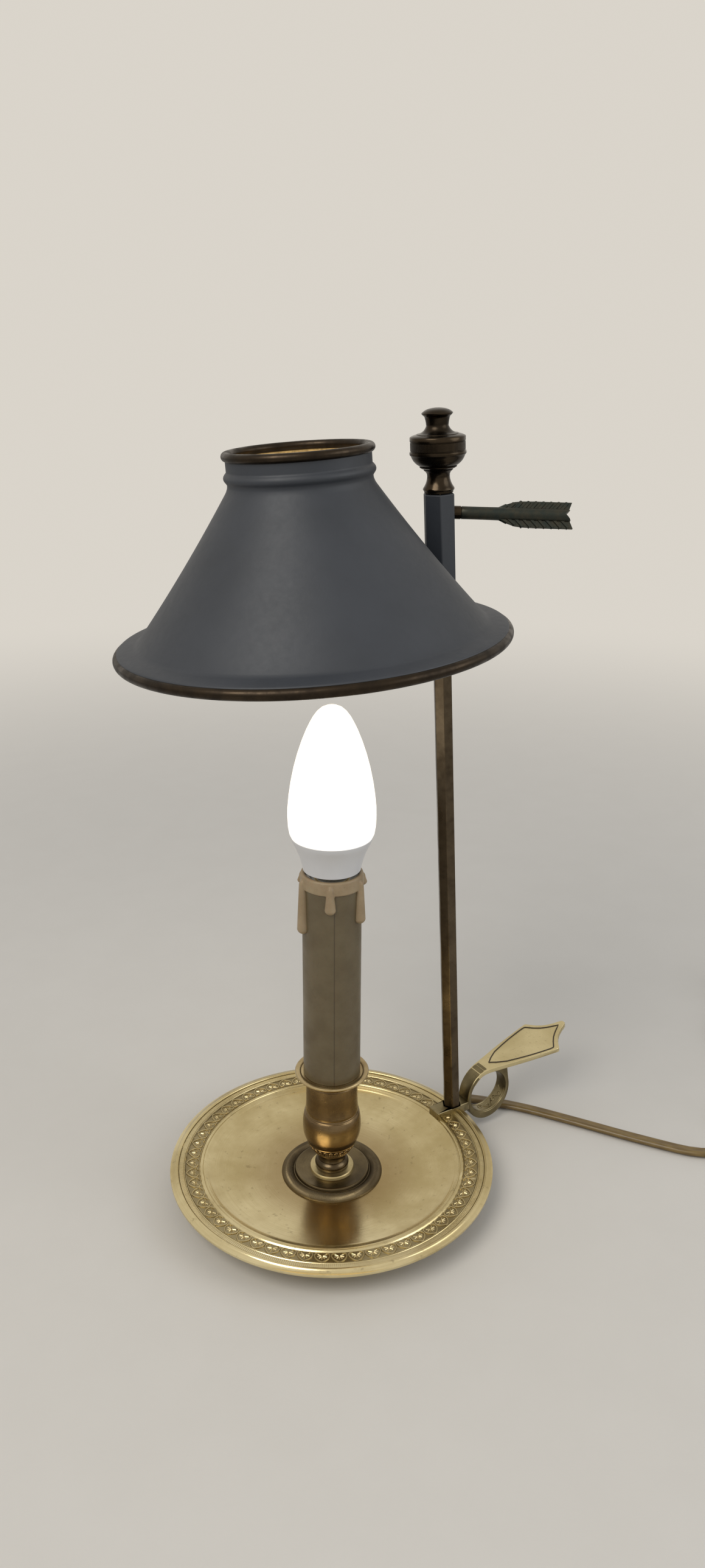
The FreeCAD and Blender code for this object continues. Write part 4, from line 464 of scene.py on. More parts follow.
# %% Brass
def aged_brass(name, bright, dull, dark, roughness=(0.2, 0.42), lines=2.2, marks=0.00002, ribs=None,
               place_of=None, patch_scale=45.0, wear=0.8, dirt_and_shade=0.85, stained=None, halo=None):
    """Brass with rubbed edges, brown hollows, lathe lines and, where given, bands of ribs and of stain."""
    material, tree, shader, place = new_material(name, metallic=1.0)
    around = place_of(tree, place) if place_of else place
    mottle = use_group(tree, "mottle", {"Place": place, "Scale": patch_scale, "Contrast": 0.25})
    edges = use_group(tree, "wear, dirt and shade", {"Place": place})
    turning = use_group(tree, "turning marks", {"Place": around, "Lines": lines})
    colour = blend_colours(tree, mottle["Patches"], bright, dull)
    streak = maths(tree, "MULTIPLY", turning["Streaks"], 0.35)
    colour = blend_colours(tree, streak, colour, dull)
    colour = blend_colours(tree, maths(tree, "MULTIPLY", mottle["Specks"], 0.3), colour, dark)
    if stained:
        low, high, strength = stained
        band = use_group(tree, "ribs", {"Place": around, "Low": low, "High": high})["Band"]
        colour = blend_colours(tree, maths(tree, "MULTIPLY", band, strength), colour, dark)
    if halo:
        inner, outer, strength = halo
        near = maths(tree, "SUBTRACT", 1.0, ramp(tree, polar(tree, around)[0], inner, outer))
        colour = blend_colours(tree, maths(tree, "MULTIPLY", near, strength), colour, BRASS_BROWN)
    # Hollows go dark through the occlusion mask: tarnish and painted shade.
    colour = blend_colours(tree, maths(tree, "MULTIPLY", edges["Dirt And Shade"], dirt_and_shade), colour, dark)
    colour = blend_colours(tree, maths(tree, "MULTIPLY", edges["Worn"], wear), colour, bright)
    tree.links.new(colour, shader.inputs["Base Color"])
    rough = add_node(tree, "ShaderNodeMapRange", {"Value": mottle["Patches"], "To Min": roughness[0],
                                                  "To Max": roughness[1]}).outputs["Result"]
    rough = maths(tree, "ADD", rough, maths(tree, "MULTIPLY", edges["Dirt And Shade"], 0.25), clamp=True)
    tree.links.new(rough, shader.inputs["Roughness"])
    height = maths(tree, "MULTIPLY", turning["Height"], 0.5)
    height = maths(tree, "ADD", height, maths(tree, "MULTIPLY", mottle["Height"], 0.25))
    if ribs:
        count, low, high, by_height = ribs
        milled = use_group(tree, "ribs", {"Place": around, "Count": count, "Low": low, "High": high,
                                          "By Height": by_height})
        height = maths(tree, "ADD", height, maths(tree, "MULTIPLY", milled["Height"], 6.0))
    set_bump(tree, shader, height, marks)
    return material


BRASS_BRIGHT, BRASS_DULL, BRASS_DARK = (0.86, 0.75, 0.46), (0.52, 0.42, 0.21), (0.10, 0.07, 0.03)
BRASS_BROWN = (0.30, 0.20, 0.085)
saucer_brass = aged_brass("saucer_brass", BRASS_BRIGHT, BRASS_DULL, BRASS_DARK, roughness=(0.14, 0.30),
                          patch_scale=22.0, halo=(0.022, 0.046, 0.65),
                          ribs=(520.0, 0.0669, 0.0690, 0.0), stained=(0.0602, 0.0661, 0.6))
relief_brass = aged_brass("relief_brass", (0.60, 0.50, 0.28), (0.46, 0.38, 0.20), BRASS_DARK,
                          roughness=(0.28, 0.45), marks=0.00001)
boss_brass = aged_brass("boss_brass", (0.20, 0.155, 0.085), (0.085, 0.064, 0.036), (0.03, 0.022, 0.012),
                        ribs=(240.0, 0.0178, 0.0225, 0.0))
stem_bronze = aged_brass("stem_bronze", (0.12, 0.088, 0.050), (0.034, 0.026, 0.016), (0.012, 0.009, 0.006))
cup_brass = aged_brass("cup_brass", (0.33, 0.235, 0.125), (0.115, 0.076, 0.038), (0.035, 0.022, 0.011), lines=3.0,
                       roughness=(0.16, 0.34))
flange_brass = aged_brass("flange_brass", (0.62, 0.50, 0.28), (0.34, 0.25, 0.13), BRASS_DARK)
handle_brass = aged_brass("handle_brass", (0.74, 0.64, 0.38), (0.58, 0.49, 0.27), BRASS_DARK, marks=0.00001)
ring_bronze = aged_brass("ring_bronze", (0.30, 0.25, 0.14), (0.13, 0.105, 0.055), (0.035, 0.026, 0.014), marks=0.00001)
rod_brass = aged_brass("rod_brass", (0.13, 0.10, 0.065), (0.055, 0.04, 0.025), (0.02, 0.014, 0.008), marks=0.00001)
print("brass finishes:", [material.name for material in bpy.data.materials if material.node_tree])

# %% [markdown]
# The paint, the wax, the plastics and the cord need fewer layers.  Each still has its own mottling,
# a fine grain in its height and a roughness that changes over the surface.

# %% Paint, wax, plastic and other finishes
def mottled(name, colour, second, share=0.6, roughness=(0.35, 0.5), scale=40.0, bump=0.00003, metallic=0.0,
            dirt_and_shade=0.0, dirt_colour=(0.05, 0.04, 0.03), **plain):
    """A finish of two near colours in soft patches, with a fine grain and, where asked, hollows darkened by an
    occlusion mask as dirt and painted shade.
    """
    material, tree, shader, place = new_material(name, metallic=metallic, **plain)
    mottle = use_group(tree, "mottle", {"Place": place, "Scale": scale, "Contrast": 0.1})
    mixed = blend_colours(tree, maths(tree, "MULTIPLY", mottle["Patches"], share), colour, second)
    if dirt_and_shade:
        edges = use_group(tree, "wear, dirt and shade", {"Place": place})
        # Hollows go dark through the occlusion mask: dirt and painted shade.
        mixed = blend_colours(tree, maths(tree, "MULTIPLY", edges["Dirt And Shade"], dirt_and_shade), mixed, dirt_colour)
    tree.links.new(mixed, shader.inputs["Base Color"])
    rough = add_node(tree, "ShaderNodeMapRange", {"Value": mottle["Height"], "To Min": roughness[0],
                                                  "To Max": roughness[1]}).outputs["Result"]
    tree.links.new(rough, shader.inputs["Roughness"])
    set_bump(tree, shader, mottle["Height"], bump)
    return material


shade_paint = mottled("shade_paint", (0.020, 0.024, 0.031), (0.035, 0.040, 0.050), roughness=(0.46, 0.6),
                      scale=24.0, bump=0.00004)
# Both inside paints give off a little light of their own: a painted glow that stands for the bulb's light inside the
# shade.
shade_inside = mottled("shade_inside", (0.72, 0.62, 0.44), (0.56, 0.42, 0.22), roughness=(0.45, 0.6), scale=60.0,
                       Emission_Color=(0.85, 0.72, 0.46, 1), Emission_Strength=0.45)
shade_mouth = mottled("shade_mouth", (0.62, 0.44, 0.18), (0.20, 0.12, 0.04), share=1.0, scale=700.0,
                      roughness=(0.4, 0.6), Emission_Color=(0.50, 0.34, 0.13, 1), Emission_Strength=0.35)
rim_bronze = aged_brass("rim_bronze", (0.050, 0.037, 0.025), (0.026, 0.020, 0.015), (0.010, 0.008, 0.007),
                        roughness=(0.28, 0.5), patch_scale=160.0, marks=0.00001)
opal_glow, tree, shader, place = new_material("bulb_opal", roughness=0.35, Base_Color=(0.95, 0.93, 0.88, 1),
                                              Emission_Strength=1.05)
facing = add_node(tree, "ShaderNodeLayerWeight", {"Blend": 0.35}).outputs["Facing"]
glow = blend_colours(tree, facing, (1.0, 0.97, 0.90), (1.0, 0.90, 0.72))
height_of = add_node(tree, "ShaderNodeSeparateXYZ", {"Vector": place}).outputs["Z"]
foot = ramp(tree, height_of, 0.172, 0.184)
tree.links.new(blend_colours(tree, foot, (0.62, 0.60, 0.56), glow), shader.inputs["Emission Color"])
bulb_white = mottled("bulb_white", (0.62, 0.62, 0.63), (0.58, 0.58, 0.59), roughness=(0.25, 0.35), scale=80.0)
felt = mottled("felt", (0.035, 0.06, 0.04), (0.05, 0.08, 0.055), roughness=(0.9, 1.0), scale=300.0, bump=0.0002,
               Sheen_Weight=0.4)
steel = mottled("steel", (0.58, 0.58, 0.60), (0.48, 0.48, 0.50), metallic=1.0, scale=120.0, dirt_and_shade=0.5)
cast_iron = mottled("cast_iron", (0.16, 0.16, 0.17), (0.10, 0.10, 0.105), metallic=1.0, roughness=(0.5, 0.7),
                    scale=200.0, bump=0.0001)
holder_white = mottled("holder_white", (0.80, 0.79, 0.74), (0.74, 0.72, 0.66), scale=90.0)
contact_brass = mottled("contact_brass", (0.78, 0.62, 0.30), (0.66, 0.50, 0.22), metallic=1.0,
                        roughness=(0.25, 0.35), scale=200.0)
cap_nickel = mottled("cap_nickel", (0.70, 0.68, 0.64), (0.60, 0.58, 0.55), metallic=1.0, roughness=(0.18, 0.3),
                     scale=150.0)
black_glaze = mottled("black_glaze", (0.02, 0.02, 0.022), (0.03, 0.03, 0.03), roughness=(0.15, 0.25))
board_white = mottled("board_white", (0.84, 0.84, 0.82), (0.78, 0.80, 0.76), scale=150.0)
wire_brown = mottled("wire_brown", (0.20, 0.09, 0.04), (0.16, 0.07, 0.03))
wire_blue = mottled("wire_blue", (0.05, 0.16, 0.45), (0.04, 0.13, 0.38))
brown_plastic = mottled("brown_plastic", (0.085, 0.045, 0.022), (0.11, 0.06, 0.03), roughness=(0.28, 0.4),
                        scale=70.0, bump=0.00003)
key_patina = mottled("key_patina", (0.024, 0.032, 0.028), (0.055, 0.048, 0.032), metallic=0.75, share=0.8,
                     roughness=(0.35, 0.55), scale=260.0, dirt_and_shade=0.8)
print("materials:", len(bpy.data.materials))

# %% [markdown]
# The candle sleeve is cast plastic in the colour of old wax, kept darker overall as painted shade
# from the bulb's foot and the shade above it.  It is darker still in its hollows and under the drips,
# where an occlusion mask paints dirt and shade, and it has one mould seam down its front.

# %% Candle finish
def candle_finish(name, colour, warm, grime_and_shade, seam_angle=None):
    material, tree, shader, place = new_material(name, Subsurface_Weight=0.12, Subsurface_Scale=0.002)
    mottle = use_group(tree, "mottle", {"Place": place, "Scale": 90.0, "Contrast": 0.1})
    edges = use_group(tree, "wear, dirt and shade", {"Place": place, "Reach": 0.003})
    mixed = blend_colours(tree, mottle["Patches"], colour, warm)
    # Hollows and the sleeve under the drips go dark through the occlusion mask: dirt and painted shade.
    mixed = blend_colours(tree, maths(tree, "MULTIPLY", edges["Dirt And Shade"], 0.9, clamp=True), mixed, grime_and_shade)
    mixed = blend_colours(tree, maths(tree, "MULTIPLY", mottle["Specks"], 0.25), mixed, grime_and_shade)
    height = mottle["Height"]
    if seam_angle is not None:
        radius, angle, up = polar(tree, place)
        off_seam = maths(tree, "ABSOLUTE", maths(tree, "SUBTRACT", angle, seam_angle / 360.0))
        seam = maths(tree, "SUBTRACT", 1.0, ramp(tree, off_seam, 0.0012, 0.0042))
        mixed = blend_colours(tree, maths(tree, "MULTIPLY", seam, 0.6), mixed, grime_and_shade)
        height = maths(tree, "SUBTRACT", height, seam)
    tree.links.new(mixed, shader.inputs["Base Color"])
    rough = add_node(tree, "ShaderNodeMapRange", {"Value": mottle["Patches"], "To Min": 0.34,
                                                  "To Max": 0.5}).outputs["Result"]
    tree.links.new(rough, shader.inputs["Roughness"])
    set_bump(tree, shader, height, 0.00006)
    return material


# The sleeve's colour is darker than its plastic, as painted shade from the bulb's foot and the shade.
candle_wax_and_shade = candle_finish("candle_wax_and_shade", (0.125, 0.096, 0.050), (0.095, 0.070, 0.034), (0.035, 0.021, 0.010), -117.0)
drip_wax = candle_finish("drip_wax", (0.33, 0.25, 0.15), (0.25, 0.18, 0.10), (0.05, 0.026, 0.011))

# %% [markdown]
# The cord's jacket is glossy and golden brown.  Its colour runs in streaks along it, laid out through
# the cord's own UV map.

# %% Cord finish
cord_finish, tree, shader, place = new_material("cord_gold", Coat_Weight=0.12, Coat_Roughness=0.25)
along = add_node(tree, "ShaderNodeUVMap", uv_map="along").outputs["UV"]
parts = add_node(tree, "ShaderNodeSeparateXYZ", {"Vector": along}).outputs
stretch = add_node(tree, "ShaderNodeCombineXYZ", {"X": maths(tree, "MULTIPLY", parts["X"], 6.0),
                                                  "Y": maths(tree, "MULTIPLY", parts["Y"], 0.08)})
streaks = add_node(tree, "ShaderNodeTexNoise", {"Vector": stretch.outputs[0], "Scale": 1.5, "Detail": 4.0})
golden = blend_colours(tree, ramp(tree, streaks.outputs["Fac"], 0.3, 0.7), (0.115, 0.070, 0.020),
                       (0.19, 0.125, 0.038))
tree.links.new(golden, shader.inputs["Base Color"])
tree.links.new(add_node(tree, "ShaderNodeMapRange", {"Value": streaks.outputs["Fac"], "To Min": 0.28,
                                                     "To Max": 0.42}).outputs["Result"],
               shader.inputs["Roughness"])
set_bump(tree, shader, streaks.outputs["Fac"], 0.00005)


def finish_with(piece, *materials):
    """Gives a piece its materials, in the order of its slots."""
    piece.data.materials.clear()
    for material in materials:
        piece.data.materials.append(material)


finish_with(cord, cord_finish)

# %% [markdown]
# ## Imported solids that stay
# Parts inside the foot, the candle and the switch already have their real shapes.  They keep their
# meshes, and only get finishes.

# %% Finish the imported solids
NODE_FINISHES = {
    "felt_pad": felt, "base_weight": cast_iron, "bottom_nut": steel, "cup_washer": steel, "cup_nut": steel,
    "threaded_tube": steel, "rod_screw": steel, "locating_pin": steel, "holder_sleeve": holder_white,
    "holder_body": holder_white, "screw_shell": contact_brass, "centre_contact": contact_brass,
    "shell_contact": contact_brass, "bulb_cap": cap_nickel, "cap_insulator": black_glaze,
    "led_board": board_white, "live_wire": wire_brown, "neutral_wire": wire_blue,
    "switch_screws": steel, "switch_contacts": contact_brass, "plug_pins": cap_nickel,
    "cord_exit_bush": brown_plastic,
}
for node, material in NODE_FINISHES.items():
    finish_with(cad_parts[node], material)
print("finished nodes:", len(NODE_FINISHES))

# %% [markdown]
# ## Drawing and turning
# Almost everything on this lamp was turned on a lathe, so the same two steps come back: a row of
# corners is drawn by extruding one corner again and again, and the row is spun round the axis.
# A lathe profile in a list is (radius, height) in millimetres.

# %% Draw a row of corners and spin it
def draw_row(points):
    """One corner, extruded from point to point; Blender stays in edit mode with the row selected."""
    clear_selection()
    bpy.ops.mesh.primitive_plane_add(size=MM, location=(0, 0, 0), enter_editmode=True)
    bpy.ops.mesh.merge(type="CENTER")
    corners = [Vector(point) * MM for point in points]
    bpy.ops.transform.translate(value=corners[0])
    for before, here in zip(corners, corners[1:]):
        bpy.ops.mesh.extrude_region_move(TRANSFORM_OT_translate={"value": here - before})
    bpy.ops.mesh.select_all(action="SELECT")


def close_up(name, smooth_angle=40, placement=None):
    """Merges doubles, turns faces outwards, smooths by angle and puts the place into the mesh."""
    bpy.ops.mesh.select_all(action="SELECT")
    bpy.ops.mesh.remove_doubles(threshold=0.000002)
    bpy.ops.mesh.normals_make_consistent(inside=False)
    bpy.ops.object.mode_set(mode="OBJECT")
    piece = bpy.context.object
    piece.name = name
    piece.data.name = name
    if placement is not None:
        piece.matrix_world = placement
    bpy.ops.object.transform_apply(location=True, rotation=True, scale=True)
    bpy.ops.object.shade_smooth_by_angle(angle=math.radians(smooth_angle))
    return piece


def turned(name, profile, steps=160, placement=None, smooth_angle=40):
    """A lathe profile of (radius, height) in millimetres, spun a full turn."""
    draw_row([(radius, 0, height) for radius, height in profile])
    bpy.ops.mesh.spin(steps=steps, angle=math.tau, center=(0, 0, 0), axis=(0, 0, 1))
    return close_up(name, smooth_angle, placement)


def bow(start, end, rise, count=7):
    """Corners of a shallow bow from start (left out) to end, swelling to the left of the way."""
    run = (end[0] - start[0], end[1] - start[1])
    length = math.hypot(*run)
    corners = []
    for step in range(1, count + 1):
        share = step / count
        swell = 4 * rise * share * (1 - share)
        corners.append((start[0] + run[0] * share - run[1] / length * swell,
                        start[1] + run[1] * share + run[0] / length * swell))
    return corners


def dress(piece, body, slot, material, *nodes):
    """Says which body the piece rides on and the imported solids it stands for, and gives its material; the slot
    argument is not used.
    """
    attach(piece, body)
    if nodes:
        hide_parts(*nodes)
    if material:
        finish_with(piece, *(material if isinstance(material, tuple) else (material,)))
    print("%s: %d faces" % (piece.name, len(piece.data.polygons)))
    return piece


# %% [markdown]
# ## The saucer
# A spun brass dish with a turned-down edge.  From outside in, its rim has a bright ridge, a groove,
# a fine milled band, a border of small palmettes on a sunk ground, a bead and a fillet, and then the
# shallow well.  The milling is too fine to model, so it is a band of ribs in the finish.

# %% Turn the saucer
saucer_profile = [(4.15, 6.0), (22.9, 6.0), (44.0, 7.6), (44.0, 1.1), (44.1, 1.0), (46.9, 1.0), (47.0, 1.1),
                  (47.0, 8.3), (55.2, 10.75), (57.0, 11.2), (70.2, 11.2), (71.8, 11.7)]
saucer_profile += bow((72.4, 12.2), (72.9, 13.9), -0.32, 6)
saucer_profile += [(71.1, 14.45)] + bow((71.1, 14.45), (69.35, 14.5), -0.5, 8)
saucer_profile += [(69.3, 13.9), (69.1, 13.85), (69.0, 14.15), (68.0, 14.2), (66.95, 14.15), (66.85, 14.0)]
saucer_profile += bow((66.8, 14.05), (66.4, 14.05), -0.22, 4)
saucer_profile += [(66.3, 13.8), (66.2, 13.95), (66.1, 14.12), (65.95, 14.12), (65.85, 13.82), (60.4, 13.82),
                   (60.3, 13.6), (60.0, 13.55), (59.8, 13.75)]
saucer_profile += bow((59.7, 13.8), (58.35, 13.8), -0.38, 7) + [(58.25, 13.62)]
saucer_profile += bow((58.2, 13.6), (57.1, 13.45), -0.25, 5) + [(56.6, 13.15), (56.0, 12.75), (55.6, 12.32)]
WELL_BEND, WELL_FLOOR, WELL_INNER = 112.42, 7.5, 23.0
for step in range(1, 15):
    radius = 55.4 + (WELL_INNER - 55.4) * step / 14
    fall = WELL_BEND - math.sqrt(WELL_BEND ** 2 - (radius - WELL_INNER) ** 2)
    saucer_profile.append((radius, WELL_FLOOR + fall))
saucer_profile += [(4.15, 7.5), (4.15, 6.0)]
saucer = dress(turned("saucer_dish", saucer_profile, steps=240, smooth_angle=45), "lamp", "brass_antique",
               saucer_brass, "saucer")

# %% [markdown]
# One palmette is drawn as rounded wire: a pointed leaf outline with its tip outwards, and inside it a
# fan of ribs.  It is modelled once and copied round the rim.

# %% Draw one palmette
BORDER_RADIUS = 63.1
BORDER_GROUND = 13.82


def wire_row(points, thickness, sides=5):
    """A row of corners made into round wire, as a mesh."""
    draw_row(points)
    bpy.ops.object.mode_set(mode="OBJECT")
    bpy.ops.object.convert(target="CURVE")
    wire = bpy.context.object
    wire.data.bevel_depth = thickness * MM / 2
    wire.data.bevel_resolution = 0 if sides <= 4 else 1
    wire.data.use_fill_caps = True
    bpy.ops.object.convert(target="MESH")
    return bpy.context.object


def join_up(name, pieces):
    clear_selection()
    for piece in pieces:
        piece.select_set(True)
    bpy.context.view_layer.objects.active = pieces[0]
    bpy.ops.object.join()
    pieces[0].name = name
    pieces[0].data.name = name
    return pieces[0]


half_outline = [(2.6, 0.0), (2.3, 0.75), (1.6, 1.7), (0.6, 2.6), (-0.6, 3.15), (-1.7, 3.05), (-2.4, 2.3),
                (-2.45, 1.35)]
outline = list(reversed([(x, -y) for x, y in half_outline[1:]])) + half_outline
strokes = [wire_row([(x, y, 0.04) for x, y in outline], 0.62)]
for angle, reach in ((0, 1.75), (42, 1.75), (80, 2.0), (118, 2.0), (-42, 1.75), (-80, 2.0), (-118, 2.0)):
    turn = math.radians(angle)
    ray = [(-0.75 + distance * math.cos(turn), distance * math.sin(turn), 0.0) for distance in (0.4, reach)]
    strokes.append(wire_row(ray, 0.48, sides=4))
palmette = join_up("palmette", strokes)
print("palmette:", len(palmette.data.polygons), "faces")

# %% Copy the palmettes round the rim
PALMETTES = 56
BAR_HALF_ANGLE = 3.2
copies = []
for number in range(PALMETTES):
    angle = 360 * (number + 0.5) / PALMETTES
    if min(angle, 360 - angle) < BAR_HALF_ANGLE:
        continue
    copy = palmette.copy()
    copy.data = palmette.data.copy()
    copy.matrix_world = (Matrix.Rotation(math.radians(angle), 4, "Z")
                         @ Matrix.Translation(Vector((BORDER_RADIUS, 0, BORDER_GROUND + 0.05)) * MM))
    bpy.context.scene.collection.objects.link(copy)
    copies.append(copy)
bpy.data.objects.remove(palmette)
border = join_up("palmette_border", copies)
clear_selection()
border.select_set(True)
bpy.context.view_layer.objects.active = border
bpy.ops.object.transform_apply(location=True, rotation=True, scale=True)
bpy.ops.object.shade_smooth_by_angle(angle=math.radians(60))
dress(border, "lamp", "brass_antique", relief_brass)

# %% [markdown]
# ## Boss and stem
# On the saucer's floor sits a turned boss with a milled roll and a dished plate.  The stem above it
# is a squat ball with a waist.  Both are one bronze, darker than the saucer, and both are plain
# lathe work, so their profiles follow the rings seen in the photograph.

# %% Turn the boss and the stem
boss_profile = [(4.15, 7.5), (22.8, 7.5), (22.87, 7.6), (22.75, 8.0)] + bow((22.75, 8.0), (17.7, 8.65), -1.55, 12)
boss_profile += [(17.4, 8.45), (17.0, 8.55), (16.8, 9.3), (16.55, 9.72), (16.2, 9.84), (15.8, 9.78)]
boss_profile += bow((15.8, 9.78), (10.5, 9.2), 0.12, 6)
boss_profile += [(10.2, 9.3), (10.05, 9.7), (10.0, 10.3), (9.7, 10.7), (9.3, 10.8), (8.6, 10.72), (8.3, 10.8),
                 (4.15, 10.8), (4.15, 7.5)]
boss = dress(turned("boss_turning", boss_profile, smooth_angle=35), "lamp", "brass_antique",
             (boss_brass, relief_brass), "boss")
BRIGHT_RING = 10.25
for face in boss.data.polygons:
    if face.center.z > 9.3 * MM and face.center.xy.length < BRIGHT_RING * MM:
        face.material_index = 1
stem_profile = [(4.15, 10.8), (7.1, 10.8), (7.25, 11.0)] + bow((7.25, 11.0), (6.5, 14.5), -0.75, 10)
stem_profile += [(6.15, 14.75), (6.2, 15.0), (6.05, 15.3)] + bow((6.05, 15.3), (5.85, 18.1), 0.22, 6)
stem_profile += [(6.5, 18.5), (6.9, 18.8), (7.0, 19.1), (6.95, 19.2), (4.15, 19.2), (4.15, 10.8)]
dress(turned("stem_turning", stem_profile, steps=96), "lamp", "brass_antique", stem_bronze, "stem")

# %% [markdown]
# ## Candle cup
# The cup is a small urn: a foot with a stamped border of upright leaves, a round belly with two
# scribed lines, a plain neck, and a flange with a rounded groove that holds the candle.  The border
# is real relief, modelled once and copied round; the scribed lines are notches in the profile.

# %% Turn the cup
cup_profile = [(4.15, 19.2), (7.5, 19.2), (8.0, 19.35), (8.3, 19.75), (8.25, 20.1), (8.4, 20.4)]
cup_profile += bow((8.4, 20.4), (10.9, 24.7), 0.1, 6) + [(11.15, 24.85), (11.35, 25.15), (11.3, 25.45)]
cup_profile += bow((11.3, 25.45), (13.05, 33.0), -0.5, 12)
cup_profile += bow((13.05, 33.0), (12.3, 39.6), -0.22, 7)
cup_profile += [(12.1, 39.8), (12.2, 40.1), (12.0, 40.3), (11.95, 40.9), (11.8, 41.1), (11.85, 41.3)]
cup_profile += bow((11.85, 41.3), (11.45, 48.0), 0.12, 7) + [(11.42, 52.0), (11.45, 55.6), (11.3, 55.75),
                                                            (11.5, 56.0), (11.35, 56.25), (11.6, 56.5)]
cup_profile += bow((11.6, 56.5), (13.6, 59.55), -0.55, 6)
cup_profile += [(14.2, 59.75), (15.6, 59.8), (16.05, 59.95), (16.3, 60.3), (16.3, 60.75), (16.05, 61.15),
                (15.5, 61.35), (14.6, 61.3), (13.9, 61.0), (13.65, 60.62), (9.3, 60.6), (9.3, 22.8),
                (4.15, 22.8), (4.15, 19.2)]
cup = dress(turned("cup_turning", cup_profile, smooth_angle=38), "lamp", "brass_antique", (cup_brass, flange_brass),
            "candle_cup")
FLANGE_LOW = 56.4
for face in cup.data.polygons:
    face.material_index = face.center.z > FLANGE_LOW * MM

# %% Border of small leaves on the cup's foot
CUP_LEAVES = 26
leaf_arch = [(-0.9, -2.1), (-1.0, -0.5), (-0.8, 0.95), (0.0, 1.85), (0.8, 0.95), (1.0, -0.5), (0.9, -2.1)]
leaf_strokes = [wire_row([(0, x, y) for x, y in leaf_arch], 0.5)]
leaf_strokes.append(wire_row([(0, 0, -2.1), (0.05, 0, 0.4)], 0.62, sides=4))
cup_leaf = join_up("cup_leaf", leaf_strokes)
leaf_copies = []
for number in range(CUP_LEAVES):
    copy = cup_leaf.copy()
    copy.data = cup_leaf.data.copy()
    copy.matrix_world = (Matrix.Rotation(math.tau * number / CUP_LEAVES, 4, "Z")
                         @ Matrix.Translation(Vector((9.75, 0, 22.6)) * MM)
                         @ Matrix.Rotation(math.radians(30), 4, "Y"))
    bpy.context.scene.collection.objects.link(copy)
    leaf_copies.append(copy)
bpy.data.objects.remove(cup_leaf)
cup_border = join_up("cup_border", leaf_copies)
clear_selection()
cup_border.select_set(True)
bpy.ops.object.transform_apply(location=True, rotation=True, scale=True)
bpy.ops.object.shade_smooth_by_angle(angle=math.radians(60))
dress(cup_border, "lamp", "brass_antique", cup_brass)

# %% [markdown]
# ## Candle and its drips
# A plastic sleeve passes for a candle, and a cast collar of molten drips sits over its top.  The
# collar starts as a spun ring with a long bead for every drip; a voxel remesh melts them into one
# skin, as wax would run together.

# %% Candle sleeve
CANDLE_TOP = 156.8
candle_profile = [(11.3, 60.6), (12.35, 60.6), (12.5, 60.75), (12.5, 155.45), (12.35, 155.6), (11.3, 155.6),
                  (11.3, 60.6)]
dress(turned("candle_sleeve", candle_profile), "lamp", "candle_plastic", candle_wax_and_shade, "candle_tube")

# %% Drips
DRIP_PLACES = ((170.8, 26.4, 2.7), (-124.7, 14.0, 2.45), (-59.0, 21.2, 2.6), (-22.0, 7.4, 2.1),
               (15.0, 17.0, 2.4), (52.0, 7.8, 2.1), (95.0, 23.5, 2.6), (133.0, 7.2, 2.1))
DRIP_CENTRE = 12.95
lip_profile = [(11.3, 155.65), (12.42, 155.65), (12.42, 151.0), (12.85, 150.7), (13.3, 151.3), (13.3, 153.2), (13.1, 155.9)]
lip_profile += bow((13.1, 155.9), (12.5, 156.75), -0.16, 4) + [(11.9, 156.78), (11.3, 156.5), (11.3, 155.65)]
drip_parts = [turned("drip_lip", lip_profile)]
for azimuth, reach, thick in DRIP_PLACES:
    turn = math.radians(azimuth)
    low = CANDLE_TOP - reach
    spot = (DRIP_CENTRE * math.cos(turn) * MM, DRIP_CENTRE * math.sin(turn) * MM)
    clear_selection()
    bpy.ops.mesh.primitive_uv_sphere_add(segments=20, ring_count=12, radius=thick * MM,
                                         location=(*spot, (low + thick) * MM))
    run = bpy.context.object
    bpy.ops.object.mode_set(mode="EDIT")
    bpy.ops.mesh.select_all(action="DESELECT")
    bpy.ops.object.mode_set(mode="OBJECT")
    for vertex in run.data.vertices:
        vertex.select = vertex.co.z > -0.0001
    bpy.ops.object.mode_set(mode="EDIT")
    bpy.ops.transform.translate(value=(0, 0, max(155.2 - low - 2 * thick, 0.2) * MM))
    bpy.ops.transform.resize(value=(0.62, 0.62, 1.0), center_override=(*spot, 0))
    bpy.ops.object.mode_set(mode="OBJECT")
    drip_parts.append(run)
drips = join_up("drip_collar_cast", drip_parts)
bpy.ops.object.transform_apply(location=True, rotation=True, scale=True)
core_cutter = turned("core_cutter", [(0, 120), (12.42, 120), (12.42, 155.6), (11.3, 155.6), (11.3, 170),
                                     (0, 170), (0, 120)], steps=128)


def apply_modifier(piece, kind, **settings):
    """Adds a modifier with its settings and applies it."""
    clear_selection()
    piece.select_set(True)
    bpy.context.view_layer.objects.active = piece
    modifier = piece.modifiers.new(kind.lower(), kind)
    for key, value in settings.items():
        setattr(modifier, key, value)
    bpy.ops.object.modifier_apply(modifier=modifier.name)


def soften(piece, width, segments=3, angle=30, smooth_angle=35):
    """Rounds the edges sharper than the angle, as filing and polishing do."""
    apply_modifier(piece, "BEVEL", width=width * MM, segments=segments, limit_method="ANGLE",
                   angle_limit=math.radians(angle), harden_normals=False)
    bpy.ops.object.shade_smooth_by_angle(angle=math.radians(smooth_angle))
    return piece


